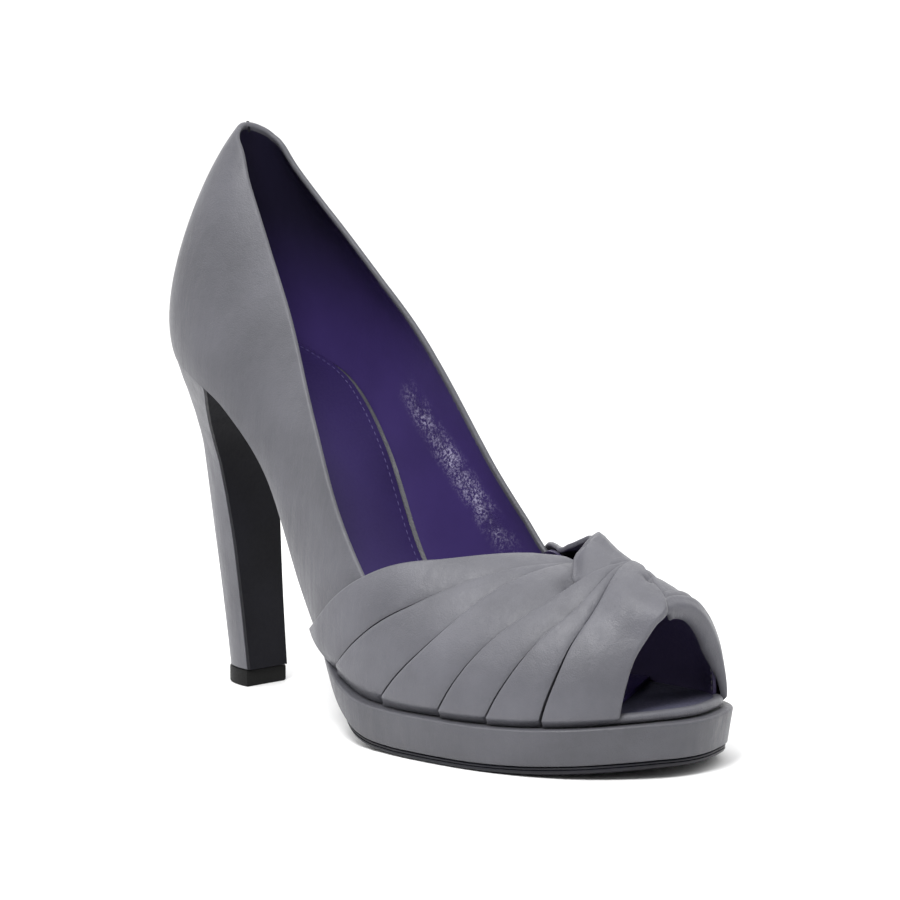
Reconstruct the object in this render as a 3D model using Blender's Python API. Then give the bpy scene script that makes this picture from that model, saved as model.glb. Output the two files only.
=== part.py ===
"""Peep toe platform pump for the right foot, as an assembly of closed solids.

The foot points along +X, the inner (medial) side is +Y and the floor is Z = 0. Sizes are in metres.
Every piece is worked out from one last: a table of sections from the back of the heel to the toe, read
by section(), which gives the outline of the foot, the slope of its underside and the height of its instep.
"""

import math

import bmesh
import bpy
import numpy as np
from mathutils import Vector

# Driving sizes of the last
BOTTOM_LENGTH = 0.2115
BALL_WIDTH = 0.0700
SEAT_HEIGHT = 0.1060
COUNTER_HEIGHT = 0.0690
INSTEP_HEIGHT = 0.0520
HEEL_BULGE = 0.0032
BULGE_HEIGHT = 0.0240

# Stack under the foot
OUTSOLE_THICKNESS = 0.0024
PLATFORM_THICKNESS = 0.0104
INSOLE_THICKNESS = 0.0028
SOCK_THICKNESS = 0.0010
TOE_SPRING = 0.0032
PLATFORM_LIP = 0.0012
OUTSOLE_INSET = 0.0006
WAIST_INSET = 0.0045
INSOLE_TOE_INSET = 0.0006
PLATFORM_START = 6.30
SOCK_END = 11.6
STATION_STEP = 0.25
PLATFORM_TAPER = 0.0006
TOE_TAPER = 0.0012
OUTSOLE_TAPER = 0.0014
# The platform stands out fully from where it has this share of its thickness
FULL_PLATFORM = 0.9
# Stations past the vamp's front edge where the insole widens over the platform
INSOLE_SHOW = 0.05

# Upper
QUARTER_WALL = 0.0018
VAMP_WALL = 0.0026
PLEAT_DEPTH = 0.0012

# Knot of the vamp
KNOT_STATION = 11.60
KNOT_SIDE = 0.0045
KNOT_LENGTH = 0.0240
KNOT_WIDTH = 0.0215
KNOT_HEIGHT = 0.0100
KNOT_RIM = 0.0012
KNOT_TURN = math.radians(28)

# Heel
TOP_PIECE_HEIGHT = 0.0052
TOP_PIECE_LIP = 0.0004
TIP_WIDTH = 0.0152
TIP_LENGTH = 0.0135
TIP_BREAST_X = 0.0303
SEAT_BREAST_X = 0.0330
BREAST_COVER_THICKNESS = 0.0012

# Room left between pieces that touch
GAP = 0.0003

# One row for each section of the last, from the back of the heel (station 0) to the toe.
# along is a share of BOTTOM_LENGTH; lateral and medial of BALL_WIDTH; rise of the seat's height over the
# forefoot; platform of PLATFORM_THICKNESS; spring of TOE_SPRING. The last's height is counter of
# COUNTER_HEIGHT and instep of INSTEP_HEIGHT together. ridge, which is how far the top of the foot lies to
# the medial side, is a share of BALL_WIDTH; bulge of HEEL_BULGE; the flares, which push the walls out
# halfway up, of BALL_WIDTH. round is 1 for a wall like an ellipse and less for a straighter one.
SECTION_COLUMNS = (
    "along", "lateral", "medial", "rise", "platform", "spring",
    "counter", "instep", "ridge", "round", "bulge", "lateral_flare", "medial_flare",
)
SECTION_ROWS = (
    (0.007, 0.000, 0.000, 1.000, 0.00, 0.00, 1.070, 0.000, 0.00, 0.80, 1.00, 0.00, 0.00),
    (0.024, 0.155, 0.155, 0.991, 0.00, 0.00, 1.070, 0.000, 0.00, 0.80, 1.00, 0.00, 0.00),
    (0.068, 0.285, 0.285, 0.965, 0.00, 0.00, 1.070, 0.000, 0.00, 0.82, 0.90, 0.00, 0.00),
    (0.133, 0.350, 0.350, 0.915, 0.00, 0.00, 1.040, 0.000, 0.01, 0.90, 0.75, -0.03, 0.00),
    (0.212, 0.371, 0.360, 0.825, 0.00, 0.00, 0.920, 0.000, 0.02, 1.00, 0.60, -0.06, 0.03),
    (0.298, 0.368, 0.320, 0.630, 0.00, 0.00, 0.927, 0.000, 0.03, 1.00, 0.50, -0.03, 0.09),
    (0.385, 0.404, 0.285, 0.295, 0.03, 0.00, 1.190, 0.000, 0.03, 1.00, 0.40, 0.01, 0.14),
    (0.472, 0.478, 0.290, 0.099, 0.45, 0.00, 1.183, 0.000, 0.03, 1.00, 0.30, 0.01, 0.17),
    (0.560, 0.540, 0.336, 0.016, 0.90, 0.00, 0.479, 0.635, 0.04, 1.00, 0.25, -0.01, 0.16),
    (0.642, 0.555, 0.400, 0.000, 1.00, 0.00, 0.000, 0.930, 0.04, 1.00, 0.25, 0.00, 0.10),
    (0.720, 0.543, 0.453, 0.000, 1.00, 0.00, 0.000, 0.790, 0.05, 1.00, 0.25, 0.00, 0.04),
    (0.793, 0.507, 0.482, 0.000, 1.00, 0.02, 0.000, 0.740, 0.06, 1.00, 0.25, 0.00, 0.01),
    (0.862, 0.438, 0.463, 0.000, 1.00, 0.18, 0.000, 0.700, 0.07, 1.00, 0.25, 0.00, 0.00),
    (0.922, 0.333, 0.408, 0.000, 1.00, 0.48, 0.000, 0.650, 0.07, 1.00, 0.20, 0.00, 0.00),
    (0.967, 0.195, 0.308, 0.000, 1.00, 0.78, 0.000, 0.590, 0.06, 1.00, 0.20, 0.00, 0.00),
    (0.992, 0.070, 0.170, 0.000, 1.00, 0.96, 0.000, 0.540, 0.04, 1.00, 0.20, 0.00, 0.00),
    (1.000, -0.050, 0.050, 0.000, 1.00, 1.00, 0.000, 0.520, 0.03, 1.00, 0.20, 0.00, 0.00),
)
LAST_STATION = len(SECTION_ROWS) - 1
SPINE_ALONG = 0.150
# Share of the way up in which the wall turns from level with the sole to square with the last
SOLE_MARGIN = 0.12

# The collar, as a share of COUNTER_HEIGHT above the underside, by station.
COLLAR_COLUMNS = ("station", "lateral", "medial")
COLLAR_ROWS = (
    (0.0, 0.985, 0.985),
    (1.0, 0.985, 0.985),
    (2.0, 0.980, 0.985),
    (3.0, 0.935, 0.970),
    (4.0, 0.745, 0.840),
    (5.0, 0.648, 0.805),
    (6.0, 0.710, 0.935),
    (7.0, 0.595, 0.825),
    (8.0, 0.420, 0.624),
    (9.0, 0.300, 0.380),
)

# Where the pleated vamp starts and ends, as stations, by the share of the way up from sole to ridge.
EDGE_COLUMNS = ("up", "lateral_rear", "medial_rear", "lateral_front", "medial_front")
EDGE_ROWS = (
    (0.00, 6.60, 7.20, 13.70, 13.90),
    (0.20, 7.41, 7.75, 13.77, 13.90),
    (0.40, 8.22, 8.30, 13.85, 13.92),
    (0.60, 8.97, 8.95, 14.02, 13.98),
    (0.80, 9.70, 9.68, 14.08, 14.05),
    (1.00, 10.30, 10.30, 14.00, 14.00),
)

# Folds of the vamp: where each meets the sole and the knot, as shares from its rear to its front edge.
LATERAL_FOLDS = ((0.10, 0.13), (0.28, 0.19), (0.48, 0.53), (0.63, 0.61), (0.80, 0.69))
MEDIAL_FOLDS = ((0.14, 0.13), (0.30, 0.19), (0.46, 0.53), (0.62, 0.61), (0.80, 0.69))
FOLD_STEP = 0.012

# The heel: height as a share from its foot to the seat, where its front is as a share of TIP_BREAST_X,
# its width of TIP_WIDTH and depth of TIP_LENGTH, and how far it has turned into the seat's outline.
HEEL_COLUMN_NAMES = ("height", "breast", "width", "depth", "seat")
HEEL_ROWS = (
    (0.00, 1.00, 1.00, 1.00, 0.00),
    (0.15, 0.95, 1.05, 1.06, 0.00),
    (0.30, 0.90, 1.12, 1.13, 0.00),
    (0.45, 0.85, 1.22, 1.20, 0.00),
    (0.60, 0.79, 1.38, 1.20, 0.00),
    (0.72, 0.76, 1.60, 1.18, 0.03),
    (0.82, 0.76, 1.95, 1.25, 0.12),
    (0.90, 0.82, 2.35, 1.42, 0.32),
    (0.96, 0.92, 2.75, 1.70, 0.62),
    (1.00, 1.05, 3.05, 1.95, 1.00),
)
HEEL_COLUMNS = 14
HEEL_HEIGHTS = (0, 0.1, 0.2, 0.3, 0.4, 0.5, 0.6, 0.68, 0.75, 0.81, 0.86, 0.90, 0.935, 0.965, 1.0)
TIP_ROUNDNESS = 0.85

QUARTER_COLUMNS = 24
COLLAR_BAND_ROWS = 7
VAMP_ROWS = 16
# Rows of faces across a flat cap
ACROSS = 6
# Points closer than this are one
WELD = 2e-6
COLLECTION = "peep_toe_pump"


def columns_of(names, rows):
    """The table as {column name: values}."""
    return dict(zip(names, np.array(rows, float).T))


SECTIONS = columns_of(SECTION_COLUMNS, SECTION_ROWS)
COLLAR = columns_of(COLLAR_COLUMNS, COLLAR_ROWS)
EDGES = columns_of(EDGE_COLUMNS, EDGE_ROWS)
HEEL = columns_of(HEEL_COLUMN_NAMES, HEEL_ROWS)


def through(values, at, before=None, after=None):
    """A smooth curve through values at 0, 1, 2 ..., with the ghost values before and after them."""
    before = values[1] if before is None else before
    after = values[-2] if after is None else after
    padded = np.concatenate([[before], values, [after]])
    at = np.clip(np.asarray(at, float), 0, len(values) - 1)
    low = np.minimum(at.astype(int), len(values) - 2)
    part = at - low
    p0, p1, p2, p3 = (padded[low + k] for k in range(4))
    return 0.5 * (
        2 * p1
        + (p2 - p0) * part
        + (2 * p0 - 5 * p1 + 4 * p2 - p3) * part**2
        + (3 * p1 - p0 - 3 * p2 + p3) * part**3
    )


def by_table(table, key, name, at):
    """Column name of a table at values of its key column, which rises evenly or nearly so."""
    keys = table[key]
    where = np.interp(np.asarray(at, float), keys, np.arange(len(keys)))
    values = table[name]
    ends = (2 * values[0] - values[1], 2 * values[-1] - values[-2])
    return through(values, where, *ends)


def section(name, station):
    """A column of the last's table at any station."""
    values = SECTIONS[name]
    if name == "lateral":
        return through(values, station, -values[1], -SECTIONS["medial"][-2])
    if name == "medial":
        return through(values, station, -values[1], -SECTIONS["lateral"][-2])
    return through(values, station)


def along(station):
    return section("along", station) * BOTTOM_LENGTH


def half_width(station, side):
    """Signed Y of the foot's edge; side is -1 for lateral and 1 for medial."""
    name = "medial" if side > 0 else "lateral"
    return side * section(name, station) * BALL_WIDTH


def forefoot_height():
    return OUTSOLE_THICKNESS + PLATFORM_THICKNESS + 2 * GAP


def base_z(station):
    """Height of what the insole and the upper stand on, level under the ball of the foot."""
    flat = forefoot_height()
    rise = np.maximum(section("rise", station), 0) * (SEAT_HEIGHT - flat)
    return flat + rise + np.maximum(section("spring", station), 0) * TOE_SPRING


def platform_z(station):
    """Thickness of platform and room under base_z."""
    return np.clip(section("platform", station), 0, 1) * (PLATFORM_THICKNESS + GAP) + GAP


def tread_z(station):
    return base_z(station) - platform_z(station) - OUTSOLE_THICKNESS


def station_at(x):
    """The station whose section lies at x."""
    fine = np.linspace(0, LAST_STATION, 1601)
    return np.interp(x, along(fine), fine)


def seat_at(x):
    """Height of what the insole and the upper stand on, at x."""
    return base_z(station_at(x))


def tread_at(x):
    """Height of the outsole's underside at x."""
    return tread_z(station_at(x))


def edge_point(station, side):
    return np.stack([along(station), half_width(station, side)], -1)


def edge_normal(station, side):
    """Outward normal of the foot's outline in plan."""
    step = 0.02
    low = np.clip(station - step, 0, LAST_STATION)
    high = np.clip(station + step, 0, LAST_STATION)
    way = edge_point(high, side) - edge_point(low, side)
    normal = np.stack([-way[..., 1], way[..., 0]], -1) * side
    at_back = np.asarray(station) <= step
    at_toe = np.asarray(station) >= LAST_STATION - step
    normal = np.where(at_back[..., None], np.array([-1.0, 0.0]), normal)
    normal = np.where(at_toe[..., None], np.array([1.0, 0.0]), normal)
    return normal / np.linalg.norm(normal, axis=-1, keepdims=True)


def outline(station, side, outset=0.0):
    """The foot's outline in plan, moved outwards."""
    station = np.asarray(station, float)
    outset = np.asarray(outset, float)
    return edge_point(station, side) + edge_normal(station, side) * outset[..., None]


def last_height(station):
    """Height of the ridge over what the upper stands on."""
    return section("counter", station) * COUNTER_HEIGHT + section("instep", station) * INSTEP_HEIGHT


def last_surface(station, up, side):
    """A point of the last: station along the foot and up, from 0 at the sole to 1 at the ridge."""
    station, up = np.broadcast_arrays(np.asarray(station, float), np.asarray(up, float))
    angle = up * math.pi / 2
    foot = edge_point(station, side)
    spine_x = np.maximum(along(station), SPINE_ALONG * BOTTOM_LENGTH)
    spine = np.stack([spine_x, section("ridge", station) * BALL_WIDTH], -1)
    curve = 1 / section("round", station)
    height = last_height(station) * np.sin(angle) ** curve
    inwards = 1 - np.clip(np.cos(angle), 0, 1) ** curve
    share = height / BULGE_HEIGHT
    bump = section("bulge", station) * HEEL_BULGE * share * np.exp(1 - share) * np.cos(angle)
    name = "medial_flare" if side > 0 else "lateral_flare"
    bump = bump + section(name, station) * BALL_WIDTH * np.sin(2 * angle)
    plan = foot + (spine - foot) * inwards[..., None]
    plan = plan + edge_normal(station, side) * bump[..., None]
    return np.concatenate([plan, (base_z(station) + GAP + height)[..., None]], -1)


def last_normal(station, up, side):
    """Outward normal of the last."""
    step = 0.01
    station, up = np.broadcast_arrays(np.asarray(station, float), np.asarray(up, float))
    inside = np.maximum(station, 2 * step)
    ahead = last_surface(inside + step, up, side) - last_surface(inside - step, up, side)
    low, high = np.clip(up - step, 0, 1), np.clip(up + step, 0, 1)
    rising = last_surface(inside, high, side) - last_surface(inside, low, side)
    rising = np.where((up >= 1)[..., None], rising * np.array([0, 1, 0]), rising)
    normal = np.cross(ahead, rising) * -side
    normal = np.where((station <= step)[..., None], normal * np.array([1, 0, 1]), normal)
    level = np.clip(up / SOLE_MARGIN, 0, 1)[..., None]
    normal = normal * np.concatenate([np.ones_like(level), np.ones_like(level), level], -1)
    return normal / np.linalg.norm(normal, axis=-1, keepdims=True)


def wall_surface(station, up, side, thickness):
    """A point of the upper's outer face, which near the sole keeps to the slope that the upper stands on."""
    inner = last_surface(station, up, side)
    outer = inner + last_normal(station, up, side) * np.asarray(thickness)[..., None]
    slope = seat_at(outer[..., 0]) - seat_at(inner[..., 0])
    outer[..., 2] += slope * np.clip(1 - np.asarray(up) / SOLE_MARGIN, 0, 1)
    return outer


def collar_up(station, side):
    """How far up the last the collar lies."""
    name = "medial" if side > 0 else "lateral"
    height = by_table(COLLAR, "station", name, station) * COUNTER_HEIGHT
    share = height / last_height(station)
    return np.arcsin(share ** section("round", station)) / (math.pi / 2)


def vamp_edge(which, up, side):
    """Station of the vamp's rear or front edge, by how far up the last it is."""
    name = ("medial_" if side > 0 else "lateral_") + which
    return by_table(EDGES, "up", name, up)


def throat(side):
    """(station, up) of the corner where the collar meets the vamp."""
    up = 0.3
    for _ in range(40):
        up = 0.5 * (up + float(collar_up(vamp_edge("rear", up, side), side)))
    return float(vamp_edge("rear", up, side)), up


class Sheet:
    """Collects grids of points as faces, and welds them into one closed mesh."""

    def __init__(self):
        self.points = []
        self.faces = []

    def grid(self, points, turned=False):
        """Adds a grid of points, rows by columns, as quads."""
        rows, columns = points.shape[:2]
        start = len(self.points)
        self.points += [tuple(p) for p in points.reshape(-1, 3)]
        for i in range(rows - 1):
            for j in range(columns - 1):
                a = start + i * columns + j
                quad = (a, a + 1, a + columns + 1, a + columns)
                self.faces.append(quad[::-1] if turned else quad)

    def triangles(self, *corners):
        for three in corners:
            start = len(self.points)
            self.points += [tuple(p) for p in three]
            self.faces.append((start, start + 1, start + 2))

    def build(self, name, material):
        mesh = bpy.data.meshes.new(name)
        mesh.from_pydata(self.points, [], self.faces)
        tidy = bmesh.new()
        tidy.from_mesh(mesh)
        bmesh.ops.remove_doubles(tidy, verts=tidy.verts, dist=WELD)
        bmesh.ops.dissolve_degenerate(tidy, edges=tidy.edges, dist=WELD)
        bmesh.ops.recalc_face_normals(tidy, faces=tidy.faces)
        tidy.to_mesh(mesh)
        tidy.free()
        mesh.shade_smooth()
        mesh.set_sharp_from_angle(angle=math.radians(35))
        obj = bpy.data.objects.new(name, mesh)
        bpy.data.collections[COLLECTION].objects.link(obj)
        obj.data.materials.append(material)
        return obj


def stack(name, material, levels):
    """A solid between levels, from the bottom up. A level is (lateral points, medial points), both from
    the back to the front, and flat caps cross from one side to the other."""
    sheet = Sheet()
    lateral = np.array([level[0] for level in levels])
    medial = np.array([level[1] for level in levels])
    sheet.grid(lateral)
    sheet.grid(medial, turned=True)
    share = np.linspace(0, 1, ACROSS + 1)[:, None, None]
    for level, turned in ((0, False), (-1, True)):
        sheet.grid(lateral[level] * (1 - share) + medial[level] * share, turned)
    for end, turned in ((0, True), (-1, False)):
        sheet.grid(lateral[:, end] * (1 - share) + medial[:, end] * share, turned)
    return sheet.build(name, material)


def with_z(plan, height):
    return np.concatenate([plan, np.broadcast_to(height, plan.shape[:-1])[..., None]], -1)


def material(name, colour, roughness):
    made = bpy.data.materials.new(name)
    made.use_nodes = True
    shader = made.node_tree.nodes["Principled BSDF"]
    shader.inputs["Base Color"].default_value = (*colour, 1.0)
    shader.inputs["Roughness"].default_value = roughness
    return made


def fold_columns(folds):
    """Shares from the vamp's rear to its front edge, at sole and at knot, and the height of the cloth there.
    Each fold drops to the next one's edge, and the edge stands up from it in FOLD_STEP."""
    edges = [(0.0, 0.0), *folds, (1.0, 1.0)]
    rows = []
    for (sole, knot), (next_sole, next_knot) in zip(edges, edges[1:]):
        for share, height in ((0.0, 1.0), (0.5, 0.75), (1.0, 0.1)):
            step = FOLD_STEP if share == 0 and sole > 0 else 0.0
            rows.append(
                (
                    sole + (next_sole - sole) * share + step,
                    knot + (next_knot - knot) * share + step,
                    height,
                )
            )
    rows[-1] = (1.0, 1.0, 0.6)
    return np.array(rows)


def make_upper(satin):
    """Quarters and pleated vamp as one hollow wall, open at the collar, the toe and underneath."""
    sheet = Sheet()
    for side, folds in ((-1, LATERAL_FOLDS), (1, MEDIAL_FOLDS)):
        corner_station, corner_up = throat(side)
        ahead = np.linspace(0, 1, QUARTER_COLUMNS + 1)[:, None]
        band = np.linspace(0, 1, COLLAR_BAND_ROWS + 1)[None, :]
        station = ahead * vamp_edge("rear", band * corner_up, side)
        up = band * collar_up(ahead * corner_station, side)
        inner = last_surface(station, up, side)
        outer = wall_surface(station, up, side, np.full(up.shape, QUARTER_WALL))
        turned = side > 0
        sheet.grid(outer, turned)
        sheet.grid(inner, not turned)
        sheet.grid(np.stack([outer[:, 0], inner[:, 0]], 1), not turned)
        sheet.grid(np.stack([outer[:, -1], inner[:, -1]], 1), turned)

        rows = np.concatenate(
            [band[0] * corner_up, np.linspace(corner_up, 1, VAMP_ROWS - COLLAR_BAND_ROWS + 1)[1:]]
        )
        folded = fold_columns(folds)
        share = folded[:, :1] + (folded[:, 1:2] - folded[:, :1]) * rows[None, :]
        rear, front = vamp_edge("rear", rows, side), vamp_edge("front", rows, side)
        station = rear + (front - rear) * share
        up = np.broadcast_to(rows, station.shape)
        fade = np.sin(np.clip((1 - rows) * 4, 0, 1) * math.pi / 2)
        relief = VAMP_WALL + PLEAT_DEPTH * folded[:, 2:3] * fade
        vamp_in = last_surface(station, up, side)
        vamp_out = wall_surface(station, up, side, relief)
        sheet.grid(vamp_out, turned)
        sheet.grid(vamp_in, not turned)
        sheet.grid(np.stack([vamp_out[1:, 0], vamp_in[1:, 0]], 1), not turned)
        sheet.triangles(
            (vamp_out[0, 0], vamp_out[1, 0], outer[-1, 0]),
            (outer[-1, 0], vamp_out[1, 0], vamp_in[1, 0]),
            (outer[-1, 0], vamp_in[1, 0], vamp_in[0, 0]),
        )
        sheet.grid(np.stack([vamp_out[-1], vamp_in[-1]], 0), not turned)
        k = COLLAR_BAND_ROWS
        sheet.grid(np.stack([outer[-1], vamp_out[0, : k + 1]], 0), turned)
        sheet.grid(np.stack([vamp_in[0, k + 1 :], vamp_out[0, k + 1 :]], 0), turned)
        low, step, high = vamp_in[0, k], outer[-1, k], vamp_out[0, k]
        next_low, next_high = vamp_in[0, k + 1], vamp_out[0, k + 1]
        sheet.triangles((low, step, next_low), (step, high, next_high), (step, next_high, next_low))
    return sheet.build("upper", satin)


def knot_height(along_share, across_share):
    """Thickness of the knot: a tall rear lobe and a low front one, with the crease of the twist between."""
    reach = np.sqrt(along_share**2 + across_share**2)
    dome = np.sqrt(np.clip(1 - reach**2, 0, 1)) ** 1.3
    lobes = 0.80 - 0.35 * np.tanh(3 * along_share)
    crease = 0.22 * np.exp(-((along_share / 0.16) ** 2))
    return KNOT_RIM + KNOT_HEIGHT * dome * (lobes - crease)


def make_knot(satin):
    """The twist of cloth on the ridge of the vamp, a closed lens that rests on it."""
    turns = np.linspace(0, 2 * math.pi, 29)
    reach = np.linspace(0, 1, 8)[1:] ** 0.8
    along_share = reach[:, None] * np.cos(turns)[None, :]
    across_share = reach[:, None] * np.sin(turns)[None, :]
    forward = along_share * KNOT_LENGTH / 2
    sideways = across_share * KNOT_WIDTH / 2
    x = forward * math.cos(KNOT_TURN) - sideways * math.sin(KNOT_TURN)
    y = forward * math.sin(KNOT_TURN) + sideways * math.cos(KNOT_TURN) + KNOT_SIDE
    station_length = float(along(KNOT_STATION + 0.5) - along(KNOT_STATION - 0.5))
    half = float(half_width(KNOT_STATION, 1) - half_width(KNOT_STATION, -1)) / 2
    station = KNOT_STATION + x / station_length
    up = 1 - np.abs(np.arcsin(y / half)) / (math.pi / 2)
    surface = np.where((y < 0)[..., None], last_surface(station, up, -1), last_surface(station, up, 1))
    normal = np.where((y < 0)[..., None], last_normal(station, up, -1), last_normal(station, up, 1))
    under = surface + normal * (VAMP_WALL + PLEAT_DEPTH + GAP)
    over = under + normal * knot_height(along_share, across_share)[..., None]
    sheet = Sheet()
    sheet.grid(over)
    sheet.grid(under, turned=True)
    sheet.grid(np.stack([over[-1], under[-1]], 0), turned=True)
    for ring in (over[0], under[0]):
        middle = ring[:-1].mean(0)
        sheet.triangles(*((middle, a, b) for a, b in zip(ring, ring[1:])))
    return sheet.build("vamp_knot", satin)


def slab(name, surface, stations, outset, bottom, top, taper=0.0):
    """A plate that follows the foot's outline; bottom and top give its heights at x, outset how far it
    stands out from the outline, the same on both sides or by side, and taper how much less its bottom
    does."""
    levels = []
    for height, less in ((bottom, taper), (top, 0.0)):
        sides = []
        for side in (-1, 1):
            edge = outset(side) if callable(outset) else outset
            plan = outline(stations, side, edge - less)
            sides.append(with_z(plan, height(plan[:, 0])))
        levels.append(sides)
    return stack(name, surface, levels)


def stations_from(first, last=LAST_STATION):
    """Stations close enough together for the steepest part of the shank, shared by all plates."""
    every = np.arange(0, LAST_STATION + 0.001, STATION_STEP)
    inside = every[(every > first + STATION_STEP / 3) & (every < last - STATION_STEP / 3)]
    return np.concatenate([[first], inside, [last]])


def platform_outset(stations):
    """How far the platform stands out from the last: flush with the quarters where it starts."""
    share = np.clip(section("platform", stations) / FULL_PLATFORM, 0, 1)
    full = VAMP_WALL + PLEAT_DEPTH + PLATFORM_LIP
    return QUARTER_WALL + (full - QUARTER_WALL) * share


def platform_taper(stations):
    """How much less the platform's bottom edge stands out than its top one, more so round the toe."""
    return PLATFORM_TAPER + TOE_TAPER * np.clip(section("spring", stations), 0, 1)


def make_platform(satin):
    stations = stations_from(PLATFORM_START)

    def bottom(x):
        return tread_at(x) + OUTSOLE_THICKNESS + GAP

    outset = platform_outset(stations)
    return slab("platform", satin, stations, outset, bottom, seat_at, platform_taper(stations))


def make_outsole(leather):
    stations = stations_from(float(station_at(SEAT_BREAST_X + BREAST_COVER_THICKNESS + 2 * GAP)))
    share = np.clip(section("platform", stations) / FULL_PLATFORM, 0, 1)
    under_platform = platform_outset(stations) - platform_taper(stations) - OUTSOLE_INSET
    edge = under_platform * share + (QUARTER_WALL - WAIST_INSET) * (1 - share)

    def top(x):
        return tread_at(x) + OUTSOLE_THICKNESS

    return slab("outsole", leather, stations, edge, tread_at, top, OUTSOLE_TAPER)


def make_insole(satin):
    stations = stations_from(0)

    def edge(side):
        covered = float(vamp_edge("front", 0.0, side)) + INSOLE_SHOW
        share = np.clip((stations - covered) / STATION_STEP, 0, 1)
        return -GAP * (1 - share) + (VAMP_WALL - INSOLE_TOE_INSET) * share

    def bottom(x):
        return seat_at(x) + GAP

    def top(x):
        return seat_at(x) + GAP + INSOLE_THICKNESS

    return slab("insole", satin, stations, edge, bottom, top)


def make_sock(leather):
    stations = stations_from(0, SOCK_END)
    edge = np.full(len(stations), -3 * GAP)

    def bottom(x):
        return seat_at(x) + INSOLE_THICKNESS + 2 * GAP

    def top(x):
        return seat_at(x) + INSOLE_THICKNESS + 2 * GAP + SOCK_THICKNESS

    return slab("sock", leather, stations, edge, bottom, top)


def tip_outline(share, side, outset=0.0):
    """The heel's D-shaped foot: share runs from the back (0) to the breast's corner (1)."""
    angle = share * math.pi / 2
    x = TIP_BREAST_X + outset - (TIP_LENGTH + 2 * outset) * np.cos(angle)
    y = side * (TIP_WIDTH / 2 + outset) * np.sin(angle) ** TIP_ROUNDNESS
    return np.stack([x, y], -1)


def heel_levels():
    """Rings of the heel from its foot to the seat, as (lateral, medial) points from back to breast."""
    last = float(station_at(SEAT_BREAST_X))
    share = np.linspace(0, 1, HEEL_COLUMNS + 1)
    angle = share * math.pi / 2
    foot = TOP_PIECE_HEIGHT + GAP
    levels = []
    for height in HEEL_HEIGHTS:
        breast, width, depth, seat = (
            float(by_table(HEEL, "height", name, height)) for name in HEEL_COLUMN_NAMES[1:]
        )
        sides = []
        for side in (-1, 1):
            x = breast * TIP_BREAST_X - depth * TIP_LENGTH * np.cos(angle)
            y = side * width * TIP_WIDTH / 2 * np.sin(angle) ** TIP_ROUNDNESS
            under_foot = outline(share * last, side, QUARTER_WALL - GAP)
            plan = np.stack([x, y], -1)
            plan = plan + (under_foot - plan) * seat
            top = seat_at(under_foot[:, 0])
            sides.append(with_z(plan, foot * (1 - height) + top * height))
        levels.append(sides)
    return levels


def make_heel(satin):
    return stack("heel", satin, heel_levels())


def make_breast_cover(leather):
    """The leather that runs down the front of the heel."""
    levels = []
    seat = seat_at(SEAT_BREAST_X)
    for height, (lateral, medial) in zip(HEEL_HEIGHTS, heel_levels()):
        offsets = []
        for ahead in (GAP, GAP + BREAST_COVER_THICKNESS):
            drop = seat - seat_at(SEAT_BREAST_X + ahead)
            offsets.append(np.array([ahead, 0, -drop * height]))
        levels.append([np.array([side[-1] + offset for offset in offsets]) for side in (lateral, medial)])
    return stack("heel_breast_cover", leather, levels)


def make_top_piece(rubber):
    share = np.linspace(0, 1, HEEL_COLUMNS + 1)
    levels = []
    for z in (0.0, TOP_PIECE_HEIGHT):
        levels.append([with_z(tip_outline(share, side, TOP_PIECE_LIP), z) for side in (-1, 1)])
    return stack("top_piece", rubber, levels)


def clear_scene():
    for obj in list(bpy.data.objects):
        bpy.data.objects.remove(obj)
    made = bpy.data.collections.new(COLLECTION)
    bpy.context.scene.collection.children.link(made)


def stand_over_origin():
    """Parents every piece to one empty, and moves it so the box's bottom centre is the origin."""
    pieces = list(bpy.data.collections[COLLECTION].objects)
    corners = np.array([v.co for piece in pieces for v in piece.data.vertices])
    low, high = corners.min(0), corners.max(0)
    stand = bpy.data.objects.new("stand", None)
    bpy.data.collections[COLLECTION].objects.link(stand)
    stand.location = Vector((-(low[0] + high[0]) / 2, -(low[1] + high[1]) / 2, -low[2]))
    for piece in pieces:
        piece.parent = stand
    bpy.context.view_layer.update()


def main():
    clear_scene()
    satin = material("grey_satin", (0.20, 0.20, 0.22), 0.55)
    black = material("black_leather", (0.012, 0.012, 0.014), 0.35)
    purple = material("purple_leather", (0.022, 0.010, 0.075), 0.35)
    rubber = material("black_rubber", (0.010, 0.010, 0.010), 0.5)
    make_upper(satin)
    make_knot(satin)
    make_platform(satin)
    make_outsole(black)
    make_insole(satin)
    make_sock(purple)
    make_heel(satin)
    make_breast_cover(black)
    make_top_piece(rubber)
    stand_over_origin()


main()
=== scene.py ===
"""Looks of a peep toe platform pump: pleated satin, leather lining and soles, round the CAD frame.

The last's tables, sizes and formulas are those of the part's source, with the last's spine softened. The
folds, the sock's front, the insole's toe, the platform's start and the rounded edges are shaped further here.
Points are worked out with the toe along +X and the floor at Z = 0; STAND moves them to the frame's origin.
"""

import math

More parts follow.
